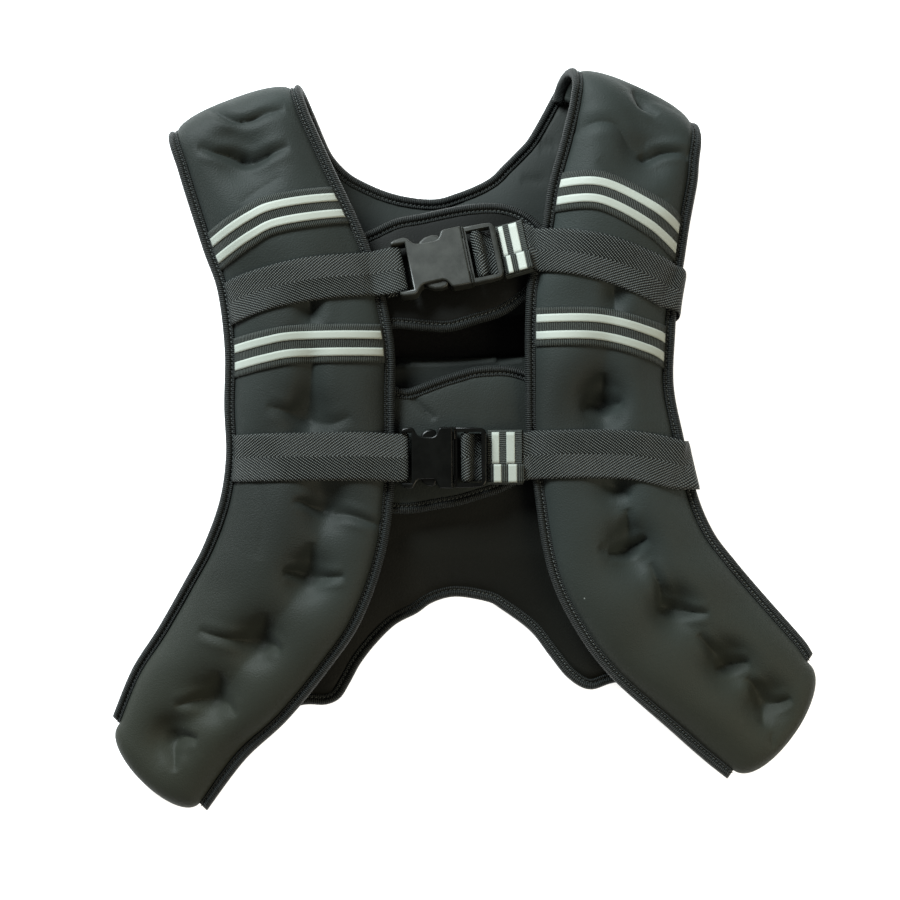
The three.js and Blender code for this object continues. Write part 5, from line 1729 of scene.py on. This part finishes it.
@dataclass
class Keeper:
    """Elastic loop that holds the webbing flat, with two silver stripes and a sewn lap."""

    place: BucklePlace
    stripes: tuple[tuple[float, float], tuple[float, float]]
    wall: float = 1.1
    lap: float = 11.5
    shift: float = 1.3
    corner: float = 1.8
    tab_sizes: tuple[float, float] = (0.05, 0.35)

    def section(self, grow: float) -> list[tuple[float, float]]:
        """Closed section round the webbing: across, up."""
        wide = SIZES.webbing_width * 0.5 + self.wall + 0.4 + grow
        deep = SIZES.webbing_thickness + 0.9 + self.wall + grow
        x, y = wide - self.corner, deep - self.corner
        points = []
        for cx, cy, start in ((x, y, 0), (-x, y, 90), (-x, -y, 180), (x, -y, 270)):
            for k in range(6):
                r = math.radians(start + 18 * k)
                points.append((cx + self.corner * math.cos(r), max(cy + self.corner * math.sin(r), -deep)))
        return points

    def axes(self) -> tuple[np.ndarray, np.ndarray, np.ndarray, np.ndarray]:
        """Origin, across, up and along directions of the loop."""
        origin, a, b, c = self.place.axes
        along = unit(a + c * self.place.slope)
        up = unit(c - a * self.place.slope)
        middle = WEBBING_LEVEL - (SIZES.webbing_thickness + LAYER_GAP) * 0.5
        return origin + a * KEEPER_START + c * middle, b, up, along

    def loop(self, start: float, end: float, grow: float, wall: float) -> bmesh.types.BMesh:
        """Ring of tape between two places along the webbing."""
        origin, across, up, along = self.axes()
        outer, inner = self.section(grow), self.section(grow - wall)
        rings = []
        for section, w in ((inner, start), (outer, start), (outer, end), (inner, end), (inner, start)):
            rings.append([origin + across * x + up * y + along * w for x, y in [*section, section[0]]])
        fine = [np.array(rings[0])]
        for k in range(4):
            steps = 6 if k in (1, 3) else 1
            way = np.array(rings[k + 1]) - rings[k]
            fine += [rings[k] + way * f for f in np.linspace(0, 1, steps + 1)[1:]]
        bm = swept(np.array(fine).transpose(1, 0, 2), closed=True, capped=False)
        bmesh.ops.remove_doubles(bm, verts=bm.verts, dist=1e-6)
        bmesh.ops.recalc_face_normals(bm, faces=bm.faces)
        return bm

    def tab(self, start: float, end: float, low: float, high: float, rise: float,
            thick: float) -> bmesh.types.BMesh:
        """Flat tab on top of the loop, between two places across it."""
        origin, across, up, along = self.axes()
        top = self.section(0)[6][1]
        rings = []
        for w in np.linspace(start, end, 7):
            line = [origin + across * x + along * w + up * (top + rise)
                    for x in np.linspace(low, high, 9)]
            over = [point + up * thick for point in line]
            rings.append(line + over[::-1] + line[:1])
        return swept(np.array(rings))

    def build(self, room: Workroom) -> list[bpy.types.Object]:
        """Makes the loop, its lap and the stripes on both."""
        length, level = self.place.keeper, self.place.level
        wide = SIZES.webbing_width * 0.5 + self.wall - 1.0
        low, seam = -wide, -wide + self.lap
        rise, thick = self.tab_sizes
        ring = self.loop(0, length, 0, self.wall)
        pieces = [room.piece(f"keeper_{level}_loop", ring, "ribbed_elastic", [f"keeper_{level}"], sharp=60)]
        lap = self.tab(self.shift, length + self.shift, low, seam, rise, 0.9)
        pieces.append(room.piece(f"keeper_{level}_lap", lap, "ribbed_elastic"))
        for k, stripe in enumerate(self.stripes):
            start, end = (share * length for share in stripe)
            main = self.tab(start, end, seam, wide, rise, thick)
            over = self.tab(start + self.shift, end + self.shift, low, seam + 0.1, 1.0, thick)
            pieces.append(room.piece(f"keeper_{level}_stripe_{k}", joined(main, over), "silver_stripe"))
        return pieces


# The vest's own tables.

LEFT_PAD = Pad(
    "left", 0.148, 110.5, (0.005, 0.002),
    (
        (-0.4324, -0.4365, 0.81, -44.7, 0.14, 0.17, 0.56, 0.27),
        (-0.3906, -0.3687, 0.88, -38.4, 0.16, 0.28, 0.64, 0.27),
        (-0.3409, -0.3126, 0.96, -34.4, 0.23, 0.44, 0.68, 0.27),
        (-0.2902, -0.2438, 1.02, -30.5, 0.36, 0.55, 0.68, 0.27),
        (-0.2542, -0.1877, 1.05, -25.0, 0.46, 0.59, 0.66, 0.27),
        (-0.2260, -0.1120, 1.04, -17.1, 0.52, 0.61, 0.66, 0.27),
        (-0.2152, -0.0343, 1.02, -8.3, 0.55, 0.63, 0.60, 0.25),
        (-0.2162, 0.0473, 1.02, -1.0, 0.57, 0.64, 0.66, 0.25),
        (-0.2162, 0.1270, 1.01, 2.3, 0.61, 0.66, 0.60, 0.25),
        (-0.2308, 0.2106, 0.97, 5.8, 0.64, 0.70, 0.56, 0.25),
        (-0.2523, 0.2676, 0.95, 8.5, 0.68, 0.72, 0.58, 0.25),
        (-0.2825, 0.3394, 0.89, 13.3, 0.71, 0.73, 0.56, 0.25),
        (-0.3039, 0.3915, 0.85, 20.5, 0.73, 0.73, 0.48, 0.23),
        (-0.3107, 0.4092, 0.845, 20.5, 0.73, 0.73, 0.36, 0.21),
    ),
    (
        Tuft(-140.8, 179.4, 12, 4.4), Tuft(-98.9, 84.8, 6, 1.6), Tuft(-99.5, 15.0, 9, 4.4),
        Tuft(-87.4, -42.2, 9, 4.4), Tuft(-99.6, -86.7, 9, 5.2), Tuft(-132.0, -129.9, 9, 5.4),
        Tuft(-162.6, -167.6, 9, 5.0), Tuft(-191.3, -193.1, 8.5, 4.8),
    ),
    (
        Crease(((-164.9, 214.4), (-155.4, 209.3), (-145.2, 204.2), (-136.3, 204.8), (-126.2, 209.3),
                (-114.1, 211.8)), 2.6, 2.6),
        Crease(((-170.0, 187.1), (-161.7, 185.2), (-150.3, 182.6), (-141.4, 180.1), (-136.3, 178.8),
                (-130.0, 180.1),
                (-123.6, 183.3), (-110.9, 187.7)), 3.4, 2.6),
        Crease(((-98.2, 96.5), (-97.6, 74.5)), 2.8, 4.6),
        Crease(((-96.0, 60.0), (-97.0, 46.5), (-98.0, 32.6), (-99.5, 16.6)), 3.0, 5.4),
        Crease(((-126.2, 22.6), (-112.2, 18.8), (-100.1, 13.7)), 1.6, 3.0),
        Crease(((-100.1, 13.7), (-85.5, 11.2), (-71.6, 16.3)), 1.2, 3.0),
        Crease(((-109.0, -37.1), (-101.4, -39.0), (-93.2, -42.2), (-85.5, -44.7)), 2.6, 2.2),
        Crease(((-85.5, -44.7), (-71.6, -47.3), (-51.9, -53.6)), 2.2, 2.4),
        Crease(((-114.8, -82.9), (-107.2, -84.2), (-99.6, -86.7)), 3.0, 2.0),
        Crease(((-99.6, -86.7), (-88.8, -87.4), (-76.1, -86.1)), 2.4, 2.2),
        Crease(((-97.6, -65.0), (-98.9, -75.2), (-99.6, -85.4)), 1.6, 3.2),
        Crease(((-171.4, -120.8), (-160.0, -124.7), (-146.0, -127.9), (-132.0, -129.9)), 2.2, 2.6),
        Crease(((-132.0, -129.9), (-125.6, -131.2), (-118.0, -135.1)), 2.2, 2.2),
        Crease(((-128.5, -110.5), (-130.6, -120.2), (-131.9, -129.2)), 1.4, 3.2),
        Crease(((-188.3, -171.5), (-176.0, -168.2), (-162.6, -167.6)), 2.2, 2.6),
        Crease(((-160.4, -148.7), (-161.2, -159.1), (-162.6, -166.9)), 1.6, 3.0),
        Crease(((-162.6, -167.6), (-154.3, -170.8), (-146.7, -177.3)), 1.2, 2.6),
        Crease(((-191.3, -193.1), (-182.9, -192.4), (-172.6, -193.1)), 2.2, 2.4),
        Crease(((-191.3, -193.1), (-190.1, -202.2), (-187.8, -214.1)), 1.6, 2.6),
        Crease(((-142.7, 150.2), (-128.7, 161.0), (-114.7, 168.7)), 0.8, 5.0),
        Crease(((-133.2, -18.0), (-128.7, -49.8), (-132.5, -75.2)), 0.7, 7.0),
    ),
    ((-98.0, 108.0), (-98.9, 84.8), (-98.5, 50.0), (-99.5, 15.0), (-90.0, -42.2), (-101.0, -86.7),
     (-132.0, -129.9),
     (-162.6, -167.6), (-190.0, -193.1), (-190.0, -214.0)),
)

RIGHT_PAD = Pad(
    "right", 0.176, 80, (-0.022, 0.004),
    (
        (0.4344, -0.3726, 0.92, 55.4, 0.17, 0.14, 0.56, 0.27),
        (0.3857, -0.3274, 0.97, 39.2, 0.28, 0.16, 0.64, 0.27),
        (0.3107, -0.2566, 1.04, 31.5, 0.44, 0.23, 0.68, 0.27),
        (0.2678, -0.2054, 1.05, 23.0, 0.55, 0.36, 0.68, 0.27),
        (0.2338, -0.1494, 1.02, 14.3, 0.59, 0.46, 0.66, 0.27),
        (0.2133, -0.0776, 0.98, 0.3, 0.61, 0.52, 0.66, 0.27),
        (0.1958, 0.0080, 0.94, -0.3, 0.63, 0.55, 0.60, 0.25),
        (0.1880, 0.0817, 0.89, -3.7, 0.64, 0.57, 0.66, 0.25),
        (0.1889, 0.1555, 0.90, -7.5, 0.66, 0.61, 0.60, 0.25),
        (0.1928, 0.2047, 0.90, -9.4, 0.70, 0.64, 0.56, 0.25),
        (0.2055, 0.2597, 0.87, -12.5, 0.72, 0.68, 0.54, 0.25),
        (0.2143, 0.3138, 0.87, -15.6, 0.73, 0.70, 0.58, 0.25),
        (0.2279, 0.3699, 0.85, -18.3, 0.73, 0.72, 0.56, 0.25),
        (0.2347, 0.4053, 0.84, -23.5, 0.73, 0.73, 0.46, 0.23),
        (0.2376, 0.4240, 0.84, -24.5, 0.73, 0.73, 0.36, 0.21),
    ),
    (
        Tuft(115.1, 218.2, 10, 3.4), Tuft(114.5, 181.4, 12, 4.4), Tuft(95.4, 92.5, 6, 1.4),
        Tuft(87.8, 24.5, 9, 6.2),
        Tuft(96.7, -29.5, 8, 3.0), Tuft(105.6, -69.5, 10, 6.0), Tuft(134.7, -109.2, 9, 5.4),
        Tuft(171.7, -145.4, 9.5, 5.4), Tuft(197.2, -170.8, 9, 5.2),
    ),
    (
        Crease(((108.8, 228.3), (115.1, 218.8), (124.0, 209.9)), 2.6, 2.8),
        Crease(((69.4, 196.0), (78.3, 201.7), (89.7, 203.6), (98.0, 199.8), (106.2, 187.1),
                (112.0, 183.3)), 1.8, 3.4),
        Crease(((112.0, 183.3), (115.1, 180.7), (125.9, 184.5), (138.6, 184.5), (143.7, 179.4)), 3.0, 2.4),
        Crease(((84.0, 178.2), (98.6, 166.1), (120.2, 153.4), (131.0, 156.0)), 1.0, 4.5),
        Crease(((95.4, 103.3), (95.4, 80.8)), 2.4, 4.8),
        Crease(((78.3, 26.4), (87.8, 23.9), (99.9, 25.1)), 3.2, 2.2),
        Crease(((87.8, 41.7), (88.5, 31.5), (87.8, 24.5)), 1.6, 3.4),
        Crease(((83.4, 23.9), (75.8, 18.8)), 1.2, 2.6),
        Crease(((89.7, -29.5), (95.4, -28.2), (105.0, -35.2)), 1.6, 3.0),
        Crease(((103.7, -42.2), (105.0, -54.9), (106.2, -66.3)), 2.0, 2.6),
        Crease(((93.5, -71.4), (101.2, -70.7), (108.8, -68.2), (116.4, -63.1)), 3.4, 2.0),
        Crease(((85.9, -67.6), (93.5, -70.7)), 1.0, 3.0),
        Crease(((117.7, -77.1), (128.1, -97.0), (132.2, -111.8)), 2.6, 2.4),
        Crease(((127.0, -108.6), (136.0, -109.2), (144.9, -110.5), (158.3, -110.5)), 3.0, 2.2),
        Crease(((151.5, -124.1), (160.6, -134.4), (171.1, -144.8)), 2.2, 2.4),
        Crease(((166.0, -147.4), (176.2, -144.8), (185.1, -143.5)), 3.2, 2.2),
        Crease(((182.7, -152.6), (190.6, -160.4), (197.2, -170.2)), 2.2, 2.4),
        Crease(((197.2, -170.8), (204.9, -170.8), (213.1, -166.9)), 2.4, 2.2),
        Crease(((197.2, -170.8), (196.7, -177.3), (195.6, -185.2)), 1.6, 2.6),
        Crease(((200.1, -188.5), (201.0, -199.6)), 0.9, 2.4),
        Crease(((111.3, 64.5), (117.7, 39.1), (116.4, 13.7)), 0.6, 7.0),
    ),
    ((95.4, 116.0), (95.4, 92.5), (91.0, 60.0), (87.8, 24.5), (95.0, -29.5), (106.5, -69.5),
     (134.7, -109.2),
     (171.7, -145.4), (197.2, -170.8), (202.0, -202.0)),
)

NECKLINE: Plan = (
    (-0.2055, 0.4210), (-0.1938, 0.4013), (-0.1812, 0.3827), (-0.1656, 0.3679), (-0.1480, 0.3571),
    (-0.1130, 0.3423),
    (-0.0760, 0.3335), (-0.0399, 0.3315), (-0.0107, 0.3394), (0.0156, 0.3492), (0.0380, 0.3610),
    (0.0545, 0.3768),
    (0.0730, 0.3945), (0.0935, 0.4171), (0.1081, 0.4387),
)
BACK_EDGE_RUN: Plan = (
    (-0.3988, 0.3777), (-0.3477, 0.2991), (-0.3088, 0.1929), (-0.2932, 0.1112), (-0.2883, 0.0158),
    (-0.3049, -0.0795),
    (-0.3506, -0.2015), (-0.3779, -0.2703), (-0.3691, -0.3136), (-0.3263, -0.3588), (-0.2766, -0.3687),
    (-0.2279, -0.3588), (-0.1982, -0.3588), (-0.1773, -0.3500), (-0.1627, -0.3283), (-0.1480, -0.3028),
    (-0.1266, -0.2762), (-0.0984, -0.2497), (-0.0672, -0.2339), (-0.0448, -0.2192), (-0.0117, -0.2113),
    (0.0331, -0.2182), (0.0506, -0.2271), (0.0935, -0.2575), (0.1217, -0.2920), (0.1480, -0.3224),
    (0.1792, -0.3382),
    (0.2191, -0.3283), (0.2717, -0.3372), (0.3214, -0.3333), (0.3584, -0.3018), (0.3623, -0.2566),
    (0.3360, -0.2015),
    (0.2961, -0.1061), (0.2717, 0.0158), (0.2659, 0.1112), (0.2717, 0.2066), (0.2912, 0.2991),
    (0.3058, 0.3895),
)
BACK_FILL: Plan = (
    (-0.3696, 0.10), (-0.2910, 0.15), (-0.2221, 0.28), (-0.1533, 0.55), (-0.0648, 0.68), (0.0434, 0.62),
    (0.0945, 0.50), (0.1142, 0.20), (0.2007, 0.24), (0.3187, 0.26), (0.4662, 0.16),
)

# The upper flap wears the darker copy of the back neoprene as painted shade.
UPPER_FLAP = Flap("upper", (
    (-0.1441, 0.1496, 0.2779, 0.52, 0.44), (-0.1198, 0.1496, 0.2882, 0.54, 0.44),
    (-0.0925, 0.1506, 0.3000, 0.57, 0.44),
    (-0.0575, 0.1476, 0.3064, 0.60, 0.44), (-0.0224, 0.1461, 0.3138, 0.61, 0.44),
    (0.0117, 0.1555, 0.3192, 0.60, 0.44),
    (0.0467, 0.1663, 0.3202, 0.56, 0.43), (0.0750, 0.1845, 0.3128, 0.52, 0.42),
    (0.0964, 0.2056, 0.2981, 0.48, 0.41),
    (0.1159, 0.2283, 0.2760, 0.45, 0.41),
), finish="neoprene_painted_shade")
LOWER_FLAP = Flap("lower", (
    (-0.1266, -0.0953, 0.0744, 0.49, 0.48), (-0.0984, -0.0963, 0.0734, 0.50, 0.49),
    (-0.0750, -0.0963, 0.0719, 0.51, 0.50),
    (-0.0380, -0.0904, 0.0847, 0.52, 0.51), (-0.0097, -0.0854, 0.0935, 0.52, 0.51),
    (0.0166, -0.0781, 0.1004, 0.51, 0.50),
    (0.0429, -0.0702, 0.1024, 0.49, 0.49), (0.0643, -0.0604, 0.1014, 0.47, 0.47),
    (0.0857, -0.0481, 0.0945, 0.45, 0.45),
    (0.1071, -0.0294, 0.0788, 0.43, 0.43), (0.1276, 0.0090, 0.0493, 0.42, 0.42),
), (Crease(((-34.5, 28.4), (-26.2, 20.6), (-18.7, 14.0)), 2.6, 1.5),), "neoprene_face")

BANDS = (
    Band("upper_left", LEFT_PAD, ((-0.3458, 0.2519), (-0.2932, 0.2833), (-0.2542, 0.2991),
         (-0.1617, 0.3138))),
    Band("lower_left", LEFT_PAD, ((-0.3175, 0.1112), (-0.2737, 0.1211), (-0.2269, 0.1280),
         (-0.1149, 0.1299))),
    Band("upper_right", RIGHT_PAD, ((0.1217, 0.3286), (0.1860, 0.3286), (0.2552, 0.2971),
         (0.2990, 0.2646))),
    Band("lower_right", RIGHT_PAD, ((0.0993, 0.1516), (0.1860, 0.1506), (0.2552, 0.1339),
         (0.2863, 0.1201))),
)

UPPER_BUCKLE = BucklePlace("upper", 1.0, 17.6, -0.0957, 0.2252, 0.77, 11.4, 14.0, 4.2)
LOWER_BUCKLE = BucklePlace("lower", 0.72, 21.8, -0.1159, -0.0217, 0.725, 0.4, 0.0, 3.4)

STRAPS = (
    Straps(
        UPPER_BUCKLE, (LEFT_PAD, RIGHT_PAD),
        ((-0.3200, 0.1855, 14, 0.84), (-0.2990, 0.1938, 14, 0.84), (-0.2674, 0.2027, 11, 0.84),
         (-0.2262, 0.2111, 8, 0.86),
         (-0.1909, 0.2160, 6, 0.86), (-0.1576, 0.2189, 4, 0.86), (-0.1295, 0.2214, 6, 0.88)),
        ((0.1000, 0.2528, 2, 0.86), (0.1159, 0.2524, -2, 0.86), (0.1451, 0.2499, -7, 0.88),
         (0.1858, 0.2424, -13, 0.90),
         (0.2230, 0.2312, -18, 0.90), (0.2620, 0.2155, -22, 0.90), (0.2815, 0.2047, -25, 0.90)),
        0.74, (5.6, 4, 22, 8),
    ),
    Straps(
        LOWER_BUCKLE, (LEFT_PAD, RIGHT_PAD),
        ((-0.3175, -0.0225, 3, 0.93), (-0.2834, -0.0210, 1, 0.95), (-0.2265, -0.0202, 0, 0.96),
         (-0.1763, -0.0196, 0, 0.97),
         (-0.1325, -0.0196, 0, 0.97)),
        ((0.0925, -0.0178, 0, 0.97), (0.1256, -0.0169, 0, 0.97), (0.1743, -0.0163, 0, 0.98),
         (0.2260, -0.0178, -3, 0.98),
         (0.2620, -0.0229, -9, 0.99), (0.2990, -0.0318, -16, 1.00)),
        0.68, (5.6, 6, 17, 0),
    ),
)


# Studio.


@dataclass
class Studio:
    """Pale floor, soft lights and the camera straight above the vest."""

    camera: tuple[float, float, float] = (-0.00933, -0.00534, 1.3)
    lens: float = 78.86
    sensor: float = 36.0
    world_light: float = 0.17
    floor_glow: float = 0.8

    def floor(self) -> None:
        """Lays the floor just under the vest."""
        bm = bmesh.new()
        bmesh.ops.create_grid(bm, x_segments=4, y_segments=4, size=3.0)
        bmesh.ops.translate(bm, verts=bm.verts, vec=(0, 0, -0.0004))
        floor = placed("floor", as_mesh("floor", bm))
        material, w, shader = blank_material("pale_floor")
        shader["Roughness"].default_value = 0.9
        shader["Emission Color"].default_value = (1, 1, 1, 1)
        shader["Emission Strength"].default_value = self.floor_glow
        tone = w.noise(w.add("ShaderNodeTexCoord").outputs["Object"], 3.0, 2.0)
        w.link(w.mix(tone, (0.93, 0.93, 0.93, 1), (0.95, 0.95, 0.95, 1)), shader["Base Color"])
        floor.data.materials.append(material)

    def light(self, name: str, place: Sequence[float], size: float, power: float,
              tint: Sequence[float]) -> None:
        """Hangs one soft square light that faces the vest."""
        data = bpy.data.lights.new(name, "AREA")
        data.size = size
        data.energy = power
        data.color = tint
        lamp = placed(name, data)
        lamp.location = place
        lamp.rotation_euler = (-Vector(place)).to_track_quat("-Z", "Y").to_euler()

    def build(self) -> None:
        """Sets up floor, lights, world and camera."""
        self.floor()
        self.light("window", (-0.85, 1.25, 1.0), 0.75, 70.0, (0.88, 0.975, 1.0))
        self.light("side", (1.3, -0.7, 1.3), 1.2, 20.0, (1.0, 0.90, 0.66))
        world = bpy.data.worlds.new("studio")
        world.use_nodes = True
        sky = world.node_tree.nodes["Background"].inputs
        sky["Color"].default_value = (1, 1, 1, 1)
        sky["Strength"].default_value = self.world_light
        scene = bpy.context.scene
        scene.world = world
        scene.view_settings.view_transform = "Standard"
        data = bpy.data.cameras.new("camera")
        data.lens = self.lens
        data.sensor_width = self.sensor
        scene.camera = placed("camera", data)
        scene.camera.location = self.camera


def main() -> None:
    """Builds the vest from the inside out, then the studio."""
    logging.basicConfig(level=logging.INFO, format="%(relativeCreated)6.0f ms %(message)s")
    room = Workroom()
    room.stock()
    pads = {pad.side: pad.build(room) for pad in (LEFT_PAD, RIGHT_PAD)}
    rolls = {}
    for pad in (LEFT_PAD, RIGHT_PAD):
        for outer in (True, False):
            rolls[pad.side, outer] = pad_binding(pad, outer).build(room)[0]
    BackPanel(LEFT_PAD, RIGHT_PAD, NECKLINE, BACK_EDGE_RUN, BACK_FILL).build(room)
    for flap in (UPPER_FLAP, LOWER_FLAP):
        flap.build(room)
    for band in BANDS:
        ground = Ground()
        ground.add(pads[band.pad.side])
        band.build(room, ground)
    left_ground, right_ground = Ground(), Ground()
    left_ground.add(pads["left"], rolls["left", False])
    right_ground.add(pads["right"], rolls["right", False], rolls["right", True])
    for straps, finish in zip(STRAPS, ("satin_buckle", "black_buckle")):
        straps.left(room, left_ground)
        straps.right(room, right_ground)
        Buckle(straps.place, finish).build(room)
    Keeper(UPPER_BUCKLE, ((0.10, 0.27), (0.49, 0.79))).build(room)
    Keeper(LOWER_BUCKLE, ((0.12, 0.34), (0.55, 0.80))).build(room)
    Studio().build()
    LOG.info("%d pieces", room.count)
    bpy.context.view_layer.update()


if __name__ == "__main__":
    main()
